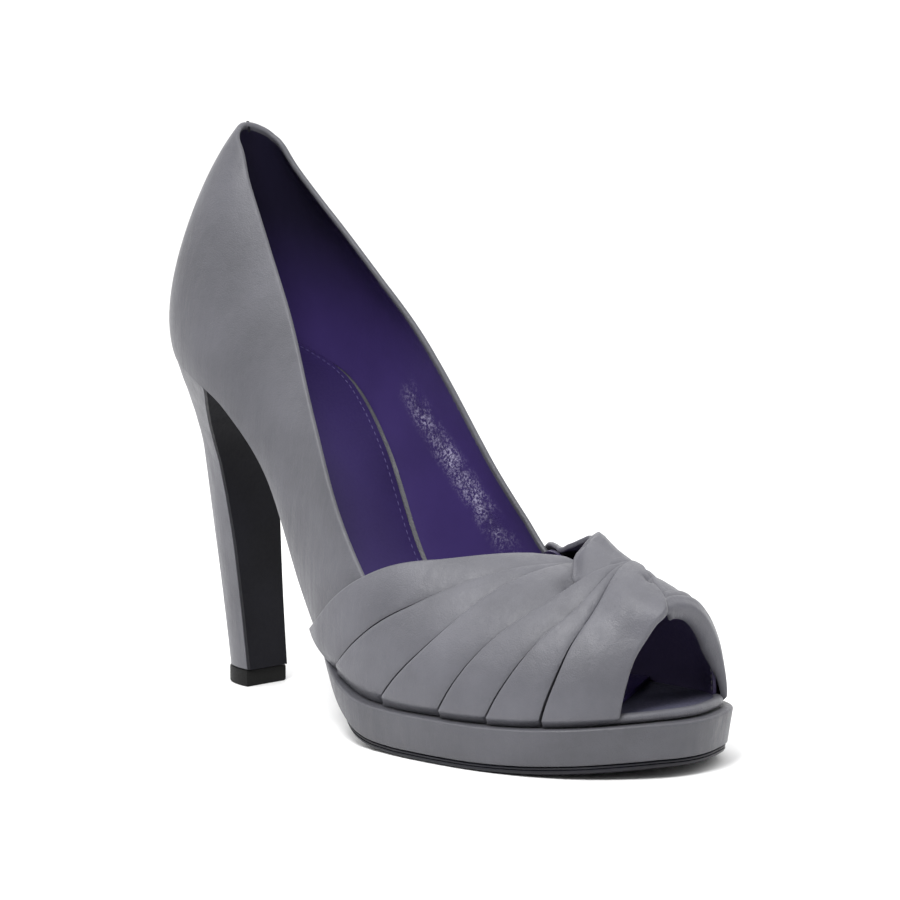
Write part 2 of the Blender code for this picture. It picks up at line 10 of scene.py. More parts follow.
import bmesh
import bpy
import numpy as np
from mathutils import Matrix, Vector


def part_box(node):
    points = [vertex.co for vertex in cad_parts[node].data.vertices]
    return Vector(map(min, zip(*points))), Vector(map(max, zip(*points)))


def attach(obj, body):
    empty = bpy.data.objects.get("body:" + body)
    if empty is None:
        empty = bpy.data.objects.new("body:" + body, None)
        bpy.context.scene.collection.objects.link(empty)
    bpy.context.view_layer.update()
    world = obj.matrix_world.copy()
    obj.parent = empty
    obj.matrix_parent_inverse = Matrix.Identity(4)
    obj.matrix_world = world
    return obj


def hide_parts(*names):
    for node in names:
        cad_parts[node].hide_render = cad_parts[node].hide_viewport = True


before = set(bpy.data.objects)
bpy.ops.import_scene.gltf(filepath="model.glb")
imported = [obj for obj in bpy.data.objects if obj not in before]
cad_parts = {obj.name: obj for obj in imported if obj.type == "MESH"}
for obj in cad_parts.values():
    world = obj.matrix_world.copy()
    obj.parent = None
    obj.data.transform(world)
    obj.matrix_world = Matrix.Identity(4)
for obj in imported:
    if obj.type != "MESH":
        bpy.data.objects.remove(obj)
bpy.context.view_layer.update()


def columns_of(names, rows):
    """The columns of a table, by name."""
    return dict(zip(names, np.array(rows, float).T))


# Driving sizes of the last, in metres
BOTTOM_LENGTH = 0.2115
BALL_WIDTH = 0.0700
SEAT_HEIGHT = 0.1060
COUNTER_HEIGHT = 0.0690
INSTEP_HEIGHT = 0.0520
HEEL_BULGE = 0.0032
BULGE_HEIGHT = 0.0240

# Stack under the foot
OUTSOLE_THICKNESS = 0.0024
PLATFORM_THICKNESS = 0.0104
INSOLE_THICKNESS = 0.0028
SOCK_THICKNESS = 0.0010
TOE_SPRING = 0.0032
PLATFORM_LIP = 0.0012
OUTSOLE_INSET = 0.0006
WAIST_INSET = 0.0045
PLATFORM_TAPER = 0.0006
TOE_TAPER = 0.0012
OUTSOLE_TAPER = 0.0014
FULL_PLATFORM = 0.9
PLATFORM_START = 6.30
START_INSET = 0.0016
GAP = 0.0003

# Heel
TOP_PIECE_HEIGHT = 0.0052
TOP_PIECE_LIP = 0.0004
TIP_WIDTH = 0.0152
TIP_LENGTH = 0.0135
TIP_BREAST_X = 0.0303
SEAT_BREAST_X = 0.0330
BREAST_COVER_THICKNESS = 0.0012
TIP_ROUNDNESS = 0.85

# Upper
QUARTER_WALL = 0.0018
VAMP_WALL = 0.0026
SOLID_PLEAT_DEPTH = 0.0012
PLEAT_DEPTH = 0.0013
FLATTENED = 0.0008
LEAST_RELIEF = 0.0004
SATIN = 0.0008
REAR_HEM = 0.0016
LINING = 0.0009
LINING_SINK = 0.0007
COLLAR_TURN = 0.0016
BACK_SEAM = 0.00025
TICK_WIDTH = 0.0005

# Shares: how much a pleat billows, the least room between two folds, how deep a groove has to be for its
# painted shade to be full, and how round the hem is; the stations that the quarters run on under the vamp;
# and each cloth's rows
BILLOW = 0.30
LEAST_FOLD = 0.006
FOLD_SHADE_FULL_AT = 0.5
HEM_FULLNESS = 0.6
UNDER_VAMP = 0.55
CLOTH_ROWS = 160

# How far the cloths rise or sink at the knot and at the sole, and stand off the last where they are hidden
GATHER = 0.0050
LOBE = 0.0024
DIMPLE = 0.0018
POCKET = 0.0040
RECESS = 0.0022
LATERAL_TUCK = 0.0024
MEDIAL_TUCK = 0.0018
UNDER_TWIST_RELIEF = 0.0016
UNDER_LOBE_RELIEF = 0.0014
CLOTH_END_RELIEF = 0.0012

# Rolled hem at the toe opening: its thickness at the sole and higher up, and the turn where it is full
LATERAL_HEM = (0.0018, 0.0032, 0.95)
MEDIAL_HEM = (0.0020, 0.0056, 0.42)

# Open toe and sock. The slants are how far each side's stations move for each one past SOCK_STRAIGHT.
RIM_OUTSET = 0.0004
RIM_WIDTH = 0.0034
RIM_START = {-1: 13.45, 1: 13.60}
SOCK_STRAIGHT = 9.0
SOCK_END = 11.6
SOCK_SLANTS = {-1: 0.75, 1: -0.26}
SOCK_STITCH_INSET = 0.0030

# Stitches: pitch, length and radius of the thread
HEM_STITCH = (0.0019, 0.0011, 0.00022)
SOCK_STITCH = (0.0024, 0.0015, 0.0002)

# One row for each section of the last, from the back of the heel (station 0) to the toe.
# along is a share of BOTTOM_LENGTH; lateral and medial of BALL_WIDTH; rise of the seat's height over the
# forefoot; platform of PLATFORM_THICKNESS; spring of TOE_SPRING. The last's height is counter of
# COUNTER_HEIGHT and instep of INSTEP_HEIGHT together. ridge, which is how far the top of the foot lies to
# the medial side, is a share of BALL_WIDTH; bulge of HEEL_BULGE; the flares, which push the walls out
# halfway up, of BALL_WIDTH. round is 1 for a wall like an ellipse and less for a straighter one.
SECTIONS = columns_of((
    "along", "lateral", "medial", "rise", "platform", "spring",
    "counter", "instep", "ridge", "round", "bulge", "lateral_flare", "medial_flare",
), (
    (0.007, 0.000, 0.000, 1.000, 0.00, 0.00, 1.070, 0.000, 0.00, 0.80, 1.00, 0.00, 0.00),
    (0.024, 0.155, 0.155, 0.991, 0.00, 0.00, 1.070, 0.000, 0.00, 0.80, 1.00, 0.00, 0.00),
    (0.068, 0.285, 0.285, 0.965, 0.00, 0.00, 1.070, 0.000, 0.00, 0.82, 0.90, 0.00, 0.00),
    (0.133, 0.350, 0.350, 0.915, 0.00, 0.00, 1.040, 0.000, 0.01, 0.90, 0.75, -0.03, 0.00),
    (0.212, 0.371, 0.360, 0.825, 0.00, 0.00, 0.920, 0.000, 0.02, 1.00, 0.60, -0.06, 0.03),
    (0.298, 0.368, 0.320, 0.630, 0.00, 0.00, 0.927, 0.000, 0.03, 1.00, 0.50, -0.03, 0.09),
    (0.385, 0.404, 0.285, 0.295, 0.03, 0.00, 1.190, 0.000, 0.03, 1.00, 0.40, 0.01, 0.14),
    (0.472, 0.478, 0.290, 0.099, 0.45, 0.00, 1.183, 0.000, 0.03, 1.00, 0.30, 0.01, 0.17),
    (0.560, 0.540, 0.336, 0.016, 0.90, 0.00, 0.479, 0.635, 0.04, 1.00, 0.25, -0.01, 0.16),
    (0.642, 0.555, 0.400, 0.000, 1.00, 0.00, 0.000, 0.930, 0.04, 1.00, 0.25, 0.00, 0.10),
    (0.720, 0.543, 0.453, 0.000, 1.00, 0.00, 0.000, 0.790, 0.05, 1.00, 0.25, 0.00, 0.04),
    (0.793, 0.507, 0.482, 0.000, 1.00, 0.02, 0.000, 0.740, 0.06, 1.00, 0.25, 0.00, 0.01),
    (0.862, 0.438, 0.463, 0.000, 1.00, 0.18, 0.000, 0.700, 0.07, 1.00, 0.25, 0.00, 0.00),
    (0.922, 0.333, 0.408, 0.000, 1.00, 0.48, 0.000, 0.650, 0.07, 1.00, 0.20, 0.00, 0.00),
    (0.967, 0.195, 0.308, 0.000, 1.00, 0.78, 0.000, 0.590, 0.06, 1.00, 0.20, 0.00, 0.00),
    (0.992, 0.070, 0.170, 0.000, 1.00, 0.96, 0.000, 0.540, 0.04, 1.00, 0.20, 0.00, 0.00),
    (1.000, -0.050, 0.050, 0.000, 1.00, 1.00, 0.000, 0.520, 0.03, 1.00, 0.20, 0.00, 0.00),
))
LAST_STATION = len(SECTIONS["along"]) - 1
SPINE_ALONG = 0.150
SPINE_EASE = 0.004
SOLE_MARGIN = 0.12

# The collar, as a share of COUNTER_HEIGHT above the underside, by station.
COLLAR = columns_of(("station", "lateral", "medial"), (
    (0.0, 0.985, 0.985),
    (1.0, 0.985, 0.985),
    (2.0, 0.980, 0.985),
    (3.0, 0.935, 0.970),
    (4.0, 0.745, 0.840),
    (5.0, 0.648, 0.805),
    (6.0, 0.710, 0.935),
    (7.0, 0.595, 0.825),
    (8.0, 0.420, 0.624),
    (9.0, 0.300, 0.380),
))

# Where the pleated vamp starts and ends, as stations, by the share of the way up from sole to ridge.
EDGES = columns_of(("up", "lateral_rear", "medial_rear", "lateral_front", "medial_front"), (
    (0.00, 6.60, 7.20, 13.70, 13.90),
    (0.20, 7.41, 7.75, 13.77, 13.90),
    (0.40, 8.22, 8.30, 13.85, 13.92),
    (0.60, 8.97, 8.95, 14.02, 13.98),
    (0.80, 9.70, 9.68, 14.08, 14.05),
    (1.00, 10.30, 10.30, 14.00, 14.00),
))

# The folds of the vamp's two cloths, as shares from rear to front edge at five places: the sole, a third and
# two thirds of the way up, the ridge, and a third past it.
LATERAL_FOLDS = (
    (0.10, 0.135, 0.145, 0.150, 0.150),
    (0.28, 0.305, 0.245, 0.170, 0.160),
    (0.48, 0.485, 0.500, 0.500, 0.470),
    (0.63, 0.640, 0.625, 0.515, 0.470),
    (0.79, 0.770, 0.690, 0.530, 0.470),
)
MEDIAL_FOLDS = (
    (0.16, 0.280, 0.440, 0.560, 0.600),
    (0.32, 0.430, 0.550, 0.590, 0.610),
    (0.52, 0.600, 0.655, 0.640, 0.620),
    (0.72, 0.765, 0.800, 0.830, 0.810),
    (0.84, 0.870, 0.895, 0.915, 0.900),
)

# Where the two cloths end, as shares from the vamp's rear to its front edge, by how far up they are: 1 is the
# ridge, and past it they lie on the other side. The lateral cloth's front ends in the lobe on the ridge, and
# the medial cloth's rear edge crosses it and comes down as the twist.
LATERAL_END = columns_of(("turn", "rear", "front"), (
    (0.00, 0.00, 1.000), (0.50, 0.00, 1.000), (0.58, 0.00, 1.000), (0.66, 0.00, 1.010), (0.74, 0.00, 1.035),
    (0.80, 0.00, 1.030), (0.85, 0.00, 0.985), (0.885, 0.00, 0.930), (0.91, 0.00, 0.870), (0.94, 0.01, 0.780),
    (0.965, 0.02, 0.700), (1.00, 0.04, 0.615), (1.02, 0.05, 0.572), (1.04, 0.06, 0.540),
))
MEDIAL_END = columns_of(("turn", "rear", "front"), (
    (0.00, 0.00, 0.970), (0.50, 0.00, 0.995), (0.70, 0.00, 0.990), (0.80, 0.00, 0.985), (0.86, 0.03, 0.985),
    (0.90, 0.09, 0.985), (0.93, 0.140, 0.985), (0.97, 0.190, 0.985), (1.00, 0.215, 0.985),
    (1.055, 0.250, 0.985), (1.08, 0.270, 0.985), (1.145, 0.350, 0.985), (1.21, 0.435, 0.985),
    (1.25, 0.500, 0.985),
))

# How far the twist stands out over the vamp, in millimetres, by share; and the thickness of its folded rear
# edge by turn.
TWIST = columns_of(("share", "height"), (
    (0.00, 0.6), (0.10, 5.8), (0.17, 9.4), (0.23, 10.6), (0.30, 8.9), (0.36, 7.0), (0.45, 5.5), (0.53, 4.5),
    (0.60, 3.0), (0.68, 1.5), (0.77, 0.5), (0.90, 0.0), (1.20, 0.0),
))
TWIST_EDGE = columns_of(("turn", "height"), (
    (0.00, 3.6), (0.42, 3.4), (0.55, 2.0), (0.78, 2.0), (0.83, 2.9), (0.86, 4.9), (0.90, 7.6), (0.93, 9.4),
    (0.97, 11.2), (1.00, 11.4), (1.055, 8.6), (1.08, 7.6), (1.145, 5.8), (1.21, 5.0), (1.25, 4.4),
))

# Where one cloth goes under the other, as turns by share: the lateral cloth under the twist's edge, and the
# medial cloth under the lobe.
UNDER_TWIST = columns_of(("share", "turn"), (
    (0.155, 1.0), (0.265, 0.92), (0.355, 0.855), (0.44, 0.79), (0.50, 0.75),
))
UNDER_LOBE = columns_of(("share", "turn"), (
    (0.58, 1.0), (0.64, 1.0), (0.71, 1.03), (0.79, 1.06), (0.885, 1.09), (0.945, 1.11), (1.05, 1.14),
))

# Profile of one pleat, from its folded rear edge to the next one's: share of its width and height of cloth.
PLEAT = columns_of(("across", "height"), (
    (0.000, -1.30), (0.004, -0.60), (0.008, 0.40), (0.020, 0.95), (0.042, 1.12), (0.080, 1.13), (0.170, 1.01),
    (0.300, 0.87), (0.430, 0.73), (0.560, 0.59), (0.690, 0.45), (0.800, 0.33), (0.890, 0.20),
    (0.950, 0.06), (0.970, -0.80),
))

# Heel, by the height's share: breast, which is its front, as a share of TIP_BREAST_X, width of TIP_WIDTH,
# depth of TIP_LENGTH, and seat, which is how far it has turned into the seat's outline.
HEEL = columns_of(("height", "breast", "width", "depth", "seat"), (
    (0.00, 1.00, 1.00, 1.00, 0.00),
    (0.15, 0.95, 1.05, 1.06, 0.00),
    (0.30, 0.90, 1.12, 1.13, 0.00),
    (0.45, 0.85, 1.22, 1.20, 0.00),
    (0.60, 0.79, 1.38, 1.20, 0.00),
    (0.72, 0.76, 1.60, 1.18, 0.03),
    (0.82, 0.76, 1.95, 1.25, 0.12),
    (0.90, 0.82, 2.35, 1.42, 0.32),
    (0.96, 0.92, 2.75, 1.70, 0.62),
    (1.00, 1.05, 3.05, 1.95, 1.00),
))

# The photograph's camera: its angle to the shoe in degrees, its distance, and how large it draws a metre
AZIMUTH = 46.97
ELEVATION = 9.51
DISTANCE = 1.382
PIVOT = Vector((0.115, 0.0, 0.060))
PIXELS_PER_METRE = 3350
PICTURE_WIDTH = 900
SENSOR = 36.0
AIM_ABOVE_PIVOT = 0.0231

# The crinkled band of the lining on the inner side's wall, crinkled by a bump and carrying painted glints, a
# painted reflection, as stations and shares of the way up
CRINKLE_AND_PAINTED_GLINT_FROM_TO = ((5.0, 0.27), (7.9, 0.27))
CRINKLE_AND_PAINTED_GLINT_WIDTH = 0.0062
# Heights over which the quarter lining turns darker towards its top: painted shade
LINING_PAINTED_SHADE_HEIGHTS = (0.105, 0.150)

# Colours, and how light each satin copy is against SATIN_COLOUR: painted light and shade for how the light
# falls on each part
SATIN_COLOUR = (0.081, 0.081, 0.094)
PLEATED_PAINTED_LIGHT = 1.05
QUARTER_PAINTED_SHADE = 0.88
PLATFORM_PAINTED_SHADE = 0.80
# How dark the painted shade deep in the pleats' folds is, against the satin's colour
FOLD_PAINTED_SHADE = 0.12
PURPLE_COLOUR = (0.023, 0.013, 0.075)
LINING_COLOUR = (0.041, 0.026, 0.115)
# The darker purple that the lining turns towards its top: painted shade
LINING_PAINTED_SHADE_COLOUR = (0.013, 0.011, 0.026)
# Colour of the painted glints, a painted reflection on the lining's crinkled band
PAINTED_GLINT_COLOUR = (0.420, 0.390, 0.560)
TOE_LINING_COLOUR = (0.064, 0.052, 0.115)
BLACK_COLOUR = (0.006, 0.006, 0.009)
GREY_THREAD = (0.16, 0.16, 0.17)
PURPLE_THREAD = (0.055, 0.040, 0.150)

# Studio: how bright the room is before the shoe and above and behind it, and the softboxes as name, azimuth
# and elevation in degrees, distance and size in metres, and power in watts
ROOM_DIM = 0.05
ROOM_BRIGHT = 1.85
ROOM_TILT = 58
FLOOR_REACH = 14.0
SOFTBOXES = (
    ("key", 28, 52, 0.75, (0.25, 0.25), 5.5),
    ("heel_side", -48, 34, 1.3, (0.2, 0.7), 2.0),
    ("top", 60, 78, 1.3, (0.5, 0.5), 1.5),
    ("toe_side", 118, 30, 1.4, (0.4, 0.9), 1),
)


# Curves and the last

def through(values, at, before=None, after=None):
    """A smooth curve through values at 0, 1, 2 ..., with the ghost values before and after them."""
    before = values[1] if before is None else before
    after = values[-2] if after is None else after
    padded = np.concatenate([[before], values, [after]])
    at = np.clip(np.asarray(at, float), 0, len(values) - 1)
    low = np.minimum(at.astype(int), len(values) - 2)
    part = at - low
    p0, p1, p2, p3 = (padded[low + k] for k in range(4))
    return 0.5 * (
        2 * p1
        + (p2 - p0) * part
        + (2 * p0 - 5 * p1 + 4 * p2 - p3) * part**2
        + (3 * p1 - p0 - 3 * p2 + p3) * part**3
    )


def by_table(table, key, name, at):
    """Column name of a table at values of its key column."""
    keys = table[key]
    where = np.interp(np.asarray(at, float), keys, np.arange(len(keys)))
    values = table[name]
    ends = (2 * values[0] - values[1], 2 * values[-1] - values[-2])
    return through(values, where, *ends)


def smooth(low, high, value):
    """0 below low, 1 above high, and an S between them."""
    share = np.clip((value - low) / (high - low), 0, 1)
    return share * share * (3 - 2 * share)


def hump(centre, width, value):
    return np.exp(-(((value - centre) / width) ** 2))


def eased_least(value, least, ease):
    """value, or least where value is lower, with a soft change from one to the other."""
    over = value - least
    return least + (over + np.sqrt(over * over + ease * ease)) / 2


def section(name, station):
    values = SECTIONS[name]
    if name == "lateral":
        return through(values, station, -values[1], -SECTIONS["medial"][-2])
    if name == "medial":
        return through(values, station, -values[1], -SECTIONS["lateral"][-2])
    return through(values, station)


def along(station):
    return section("along", station) * BOTTOM_LENGTH


def half_width(station, side):
    name = "medial" if side > 0 else "lateral"
    return side * section(name, station) * BALL_WIDTH


def base_z(station):
    """Height of what the insole and the upper stand on."""
    flat = OUTSOLE_THICKNESS + PLATFORM_THICKNESS + 2 * GAP
    rise = np.maximum(section("rise", station), 0) * (SEAT_HEIGHT - flat)
    return flat + rise + np.maximum(section("spring", station), 0) * TOE_SPRING


def tread_z(station):
    platform = np.clip(section("platform", station), 0, 1) * (PLATFORM_THICKNESS + GAP) + GAP
    return base_z(station) - platform - OUTSOLE_THICKNESS


def station_at(x):
    fine = np.linspace(0, LAST_STATION, 1601)
    return np.interp(x, along(fine), fine)


def seat_at(x):
    return base_z(station_at(x))


def tread_at(x):
    return tread_z(station_at(x))


def edge_point(station, side):
    return np.stack([along(station), half_width(station, side)], -1)


def edge_normal(station, side):
    """Outward normal of the foot's outline in plan."""
    step = 0.02
    low = np.clip(station - step, 0, LAST_STATION)
    high = np.clip(station + step, 0, LAST_STATION)
    way = edge_point(high, side) - edge_point(low, side)
    normal = np.stack([-way[..., 1], way[..., 0]], -1) * side
    at_back = np.asarray(station) <= step
    at_toe = np.asarray(station) >= LAST_STATION - step
    normal = np.where(at_back[..., None], np.array([-1.0, 0.0]), normal)
    normal = np.where(at_toe[..., None], np.array([1.0, 0.0]), normal)
    return normal / np.linalg.norm(normal, axis=-1, keepdims=True)


def outline(station, side, outset=0.0):
    station = np.asarray(station, float)
    outset = np.asarray(outset, float)
    return edge_point(station, side) + edge_normal(station, side) * outset[..., None]


def last_height(station):
    """Height of the ridge over what the upper stands on."""
    return section("counter", station) * COUNTER_HEIGHT + section("instep", station) * INSTEP_HEIGHT


def last_surface(station, up, side):
    """A point of the last: station along the foot and up, from 0 at the sole to 1 at the ridge."""
    station, up = np.broadcast_arrays(np.asarray(station, float), np.asarray(up, float))
    angle = up * math.pi / 2
    foot = edge_point(station, side)
    spine_x = eased_least(along(station), SPINE_ALONG * BOTTOM_LENGTH, SPINE_EASE)
    spine = np.stack([spine_x, section("ridge", station) * BALL_WIDTH], -1)
    curve = 1 / section("round", station)
    height = last_height(station) * np.sin(angle) ** curve
    inwards = 1 - np.clip(np.cos(angle), 0, 1) ** curve
    share = height / BULGE_HEIGHT
    bump = section("bulge", station) * HEEL_BULGE * share * np.exp(1 - share) * np.cos(angle)
    name = "medial_flare" if side > 0 else "lateral_flare"
    bump = bump + section(name, station) * BALL_WIDTH * np.sin(2 * angle)
    plan = foot + (spine - foot) * inwards[..., None]
    plan = plan + edge_normal(station, side) * bump[..., None]
    return np.concatenate([plan, (base_z(station) + GAP + height)[..., None]], -1)


def last_normal(station, up, side):
    """Outward normal of the last."""
    step = 0.01
    station, up = np.broadcast_arrays(np.asarray(station, float), np.asarray(up, float))
    inside = np.maximum(station, 2 * step)
    ahead = last_surface(inside + step, up, side) - last_surface(inside - step, up, side)
    low, high = np.clip(up - step, 0, 1), np.clip(up + step, 0, 1)
    rising = last_surface(inside, high, side) - last_surface(inside, low, side)
    rising = np.where((up >= 1)[..., None], rising * np.array([0, 1, 0]), rising)
    normal = np.cross(ahead, rising) * -side
    normal = np.where((station <= step)[..., None], normal * np.array([1, 0, 1]), normal)
    level = np.clip(up / SOLE_MARGIN, 0, 1)[..., None]
    normal = normal * np.concatenate([np.ones_like(level), np.ones_like(level), level], -1)
    return normal / np.linalg.norm(normal, axis=-1, keepdims=True)


def wall_surface(station, up, side, relief):
    """A point that stands off the last by relief, and near the sole keeps to the slope that it stands on."""
    inner = last_surface(station, up, side)
    outer = inner + last_normal(station, up, side) * np.asarray(relief)[..., None]
    slope = seat_at(outer[..., 0]) - seat_at(inner[..., 0])
    outer[..., 2] += slope * np.clip(1 - np.asarray(up) / SOLE_MARGIN, 0, 1)
    return outer


def collar_up(station, side):
    name = "medial" if side > 0 else "lateral"
    height = by_table(COLLAR, "station", name, station) * COUNTER_HEIGHT
    share = height / last_height(station)
    return np.arcsin(share ** section("round", station)) / (math.pi / 2)


def vamp_edge(which, up, side):
    name = ("medial_" if side > 0 else "lateral_") + which
    return by_table(EDGES, "up", name, up)


def throat(side):
    """(station, up) of the corner where the collar meets the vamp."""
    up = 0.3
    for _ in range(40):
        up = 0.5 * (up + float(collar_up(vamp_edge("rear", up, side), side)))
    return float(vamp_edge("rear", up, side)), up


# Meshes

def placed(name, data):
    """A new object in the scene."""
    obj = bpy.data.objects.new(name, data)
    bpy.context.scene.collection.objects.link(obj)
    return obj


TOP_LOW, TOP_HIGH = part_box("top_piece")
STAND = np.array([TOP_HIGH.x - TIP_BREAST_X - TOP_PIECE_LIP, (TOP_LOW.y + TOP_HIGH.y) / 2, TOP_LOW.z])


def piece(name, points, faces, surface, stands_for=(), sharp=50, painted_fold_shade_depth=None):
    """A closed mesh as a piece of the object, moved to the frame's origin. The optional values of how deep in
    a fold each point lies, from 0 to 1, are kept on the mesh for the painted shade in the folds."""
    mesh = bpy.data.meshes.new(name)
    mesh.from_pydata([tuple(p) for p in np.asarray(points) + STAND], [], faces)
    # Painted fold shade: how deep in a fold each point lies, kept as a point attribute
    if painted_fold_shade_depth is not None:
        mesh.attributes.new("painted_fold_shade", "FLOAT", "POINT").data.foreach_set("value", painted_fold_shade_depth.ravel())
    tidy = bmesh.new()
    tidy.from_mesh(mesh)
    bmesh.ops.remove_doubles(tidy, verts=tidy.verts, dist=1e-6)
    bmesh.ops.recalc_face_normals(tidy, faces=tidy.faces)
    tidy.to_mesh(mesh)
    tidy.free()
    mesh.shade_smooth()
    mesh.set_sharp_from_angle(angle=math.radians(sharp))
    obj = placed(name, mesh)
    mesh.materials.append(surface)
    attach(obj, "root")
    if stands_for:
        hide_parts(*stands_for)
    return obj


def strip_faces(rings, around, start=0):
    """Quads between closed rings of points, numbered from start."""
    faces = []
    for i in range(rings - 1):
        for j in range(around):
            a = start + i * around + j
            b = start + i * around + (j + 1) % around
            faces.append((a, b, b + around, a + around))
    return faces


def tube_faces(rings, around, start=0):
    """Quads between closed rings, and one face over each end."""
    last = start + (rings - 1) * around
    ends = [tuple(range(start, start + around))[::-1], tuple(range(last, last + around))]
    return strip_faces(rings, around, start) + ends


def ring_faces(rings, around):
    """Quads between closed rings, and at both ends caps that join each ring's two halves."""
    faces = strip_faces(rings, around)
    for start, turned in ((0, True), ((rings - 1) * around, False)):
        for j in range(around // 2 - 1):
            quad = (start + j, start + j + 1, start + around - 2 - j, start + around - 1 - j)
            faces.append(quad[::-1] if turned else quad)
    return faces


def ring_piece(name, rings, surface, stands_for=(), sharp=50, painted_fold_shade_depth=None):
    """A piece from an array of rings, each a closed loop whose first and last halves face each other."""
    count, around = rings.shape[:2]
    faces = ring_faces(count, around)
    return piece(name, rings.reshape(-1, 3), faces, surface, stands_for, sharp, painted_fold_shade_depth)


def roll(outer, inner, ahead, steps, fullness=1.0):
    """Half a turn from outer to inner points round the edge that ahead points past, without its two ends."""
    middle = (outer + inner) / 2
    half = (outer - inner) / 2
    reach = np.linalg.norm(half, axis=-1, keepdims=True)
    past = ahead * reach * fullness
    turn = np.linspace(0, math.pi, steps + 2)[1:-1]
    return np.stack([middle + half * math.cos(a) + past * math.sin(a) for a in turn], -2)


def circle(count):
    return np.linspace(0, 2 * math.pi, count + 1)[:-1]


def unit(vectors):
    return vectors / np.maximum(np.linalg.norm(vectors, axis=-1, keepdims=True), 1e-12)


def stitches(name, path, pitch, length, radius, surface, slot):
    """A row of short threads along a path of points, as one piece."""
    steps = np.linalg.norm(np.diff(path, axis=0), axis=1)
    run = np.concatenate([[0], np.cumsum(steps)])
    centres = np.arange(pitch, run[-1] - pitch, pitch)
    around = circle(6)
    points, faces = [], []
    for centre in centres:
        start, middle, end = (
            np.array([np.interp(centre + reach, run, path[:, k]) for k in range(3)])
            for reach in (-length / 2, 0, length / 2)
        )
        way = unit(end - start)
        first = unit(np.cross(way, (0.3, 0.5, 0.8)))
        second = np.cross(way, first)
        base = len(points)
        for share, width in ((-0.5, 0.35), (-0.3, 0.9), (0.0, 1.0), (0.3, 0.9), (0.5, 0.35)):
            spot = middle + way * length * share
            points += [spot + (first * math.cos(a) + second * math.sin(a)) * radius * width for a in around]
        faces += tube_faces(5, len(around), base)
    piece(name, points, faces, surface)


# Materials. Noise scales are in cells a metre, and bump distances in metres.

def add_node(tree, kind, output, inputs=None, **settings):
    """An output of a new node. inputs are values or other nodes' outputs, by socket."""
    node = tree.nodes.new("ShaderNode" + kind)
    for name, value in settings.items():
        setattr(node, name, value)
    for socket, value in (inputs or {}).items():
        if isinstance(value, bpy.types.NodeSocket):
            tree.links.new(value, node.inputs[socket])
        else:
            node.inputs[socket].default_value = value
    return node.outputs[output]


class Shader:
    """A Principled material with short ways to wire procedural nodes into it."""

    def __init__(self, name, colour, roughness, **sockets):
        self.material = bpy.data.materials.new(name)
        self.material.use_nodes = True
        self.tree = self.material.node_tree
        self.principled = self.tree.nodes["Principled BSDF"]
        self.principled.inputs["Base Color"].default_value = (*colour, 1)
        self.principled.inputs["Roughness"].default_value = roughness
        for socket, value in sockets.items():
            self.principled.inputs[socket.replace("_", " ")].default_value = value
        self.place = self.add("TexCoord", "Object")

    def add(self, kind, output, inputs=None, **settings):
        return add_node(self.tree, kind, output, inputs, **settings)

    def vector(self, operation, output, inputs):
        return self.add("VectorMath", output, inputs, operation=operation)

    def stretched(self, scale):
        return self.add("Mapping", "Vector", {"Vector": self.place, "Scale": scale})

    def noise(self, scale, detail=3.0, roughness=0.5, vector=None):
        vector = self.place if vector is None else vector
        inputs = {"Vector": vector, "Scale": scale, "Detail": detail, "Roughness": roughness}
        return self.add("TexNoise", "Fac", inputs)

    def ramp(self, value, *stops):
        """Colours or grey levels by value, between two stops of (position, colour)."""
        colours = self.add("ValToRGB", "Color", {"Fac": value})
        for element, (position, colour) in zip(colours.node.color_ramp.elements, stops):
            element.position = position
            grey = isinstance(colour, (int, float))
            element.color = (colour, colour, colour, 1) if grey else (*colour, 1)
        return colours

    def multiply(self, first, second):
        return self.add("Math", "Value", {0: first, 1: second}, operation="MULTIPLY")

    def between(self, value, low, high):
        """0 at low and 1 at high, softly; low may be the greater."""
        inputs = {"Value": value, "From Min": low, "From Max": high}
        return self.add("MapRange", "Result", inputs, interpolation_type="SMOOTHSTEP")

    def band(self, start, end, width):
        """1 on the line from start to end, fading to 0 at width from it and at its ends."""
        length = float(np.linalg.norm(end - start))
        way = tuple((end - start) / length)
        offset = self.vector("SUBTRACT", "Vector", {0: self.place, 1: tuple(start)})
        reach = self.vector("DOT_PRODUCT", "Value", {0: offset, 1: way})
        foot = self.vector("SCALE", "Vector", {0: way, "Scale": reach})
        away = self.vector("DISTANCE", "Value", {0: offset, 1: foot})
        begin = self.between(reach, 0.0, length * 0.2)
        finish = self.between(reach, length, length * 0.7)
        return self.multiply(self.between(away, width, 0.0), self.multiply(begin, finish))

    def height(self):
        return self.add("SeparateXYZ", "Z", {"Vector": self.place})

    def mix(self, factor, first, second):
        """first where factor is 0 and the colour second where it is 1."""
        return self.add("MixRGB", "Color", {"Fac": factor, "Color1": first, "Color2": (*second, 1)})

    def colour(self, output):
        self.tree.links.new(output, self.principled.inputs["Base Color"])

    def rough(self, output):
        self.tree.links.new(output, self.principled.inputs["Roughness"])

    def bump(self, *heights):
        """Each height is (output, distance)."""
        below = {}
        for output, distance in heights:
            inputs = {"Strength": 1.0, "Distance": distance, "Height": output, **below}
            below = {"Normal": self.add("Bump", "Normal", inputs)}
        self.tree.links.new(below["Normal"], self.principled.inputs["Normal"])

    def patches(self, base, scale, detail, darker, lighter, places=(0.30, 0.70), roughness=0.5):
        """The base colour in broad patches, a little darker and lighter."""
        stops = zip(places, (tuple(base * darker), tuple(base * lighter)))
        return self.ramp(self.noise(scale, detail, roughness), *stops)


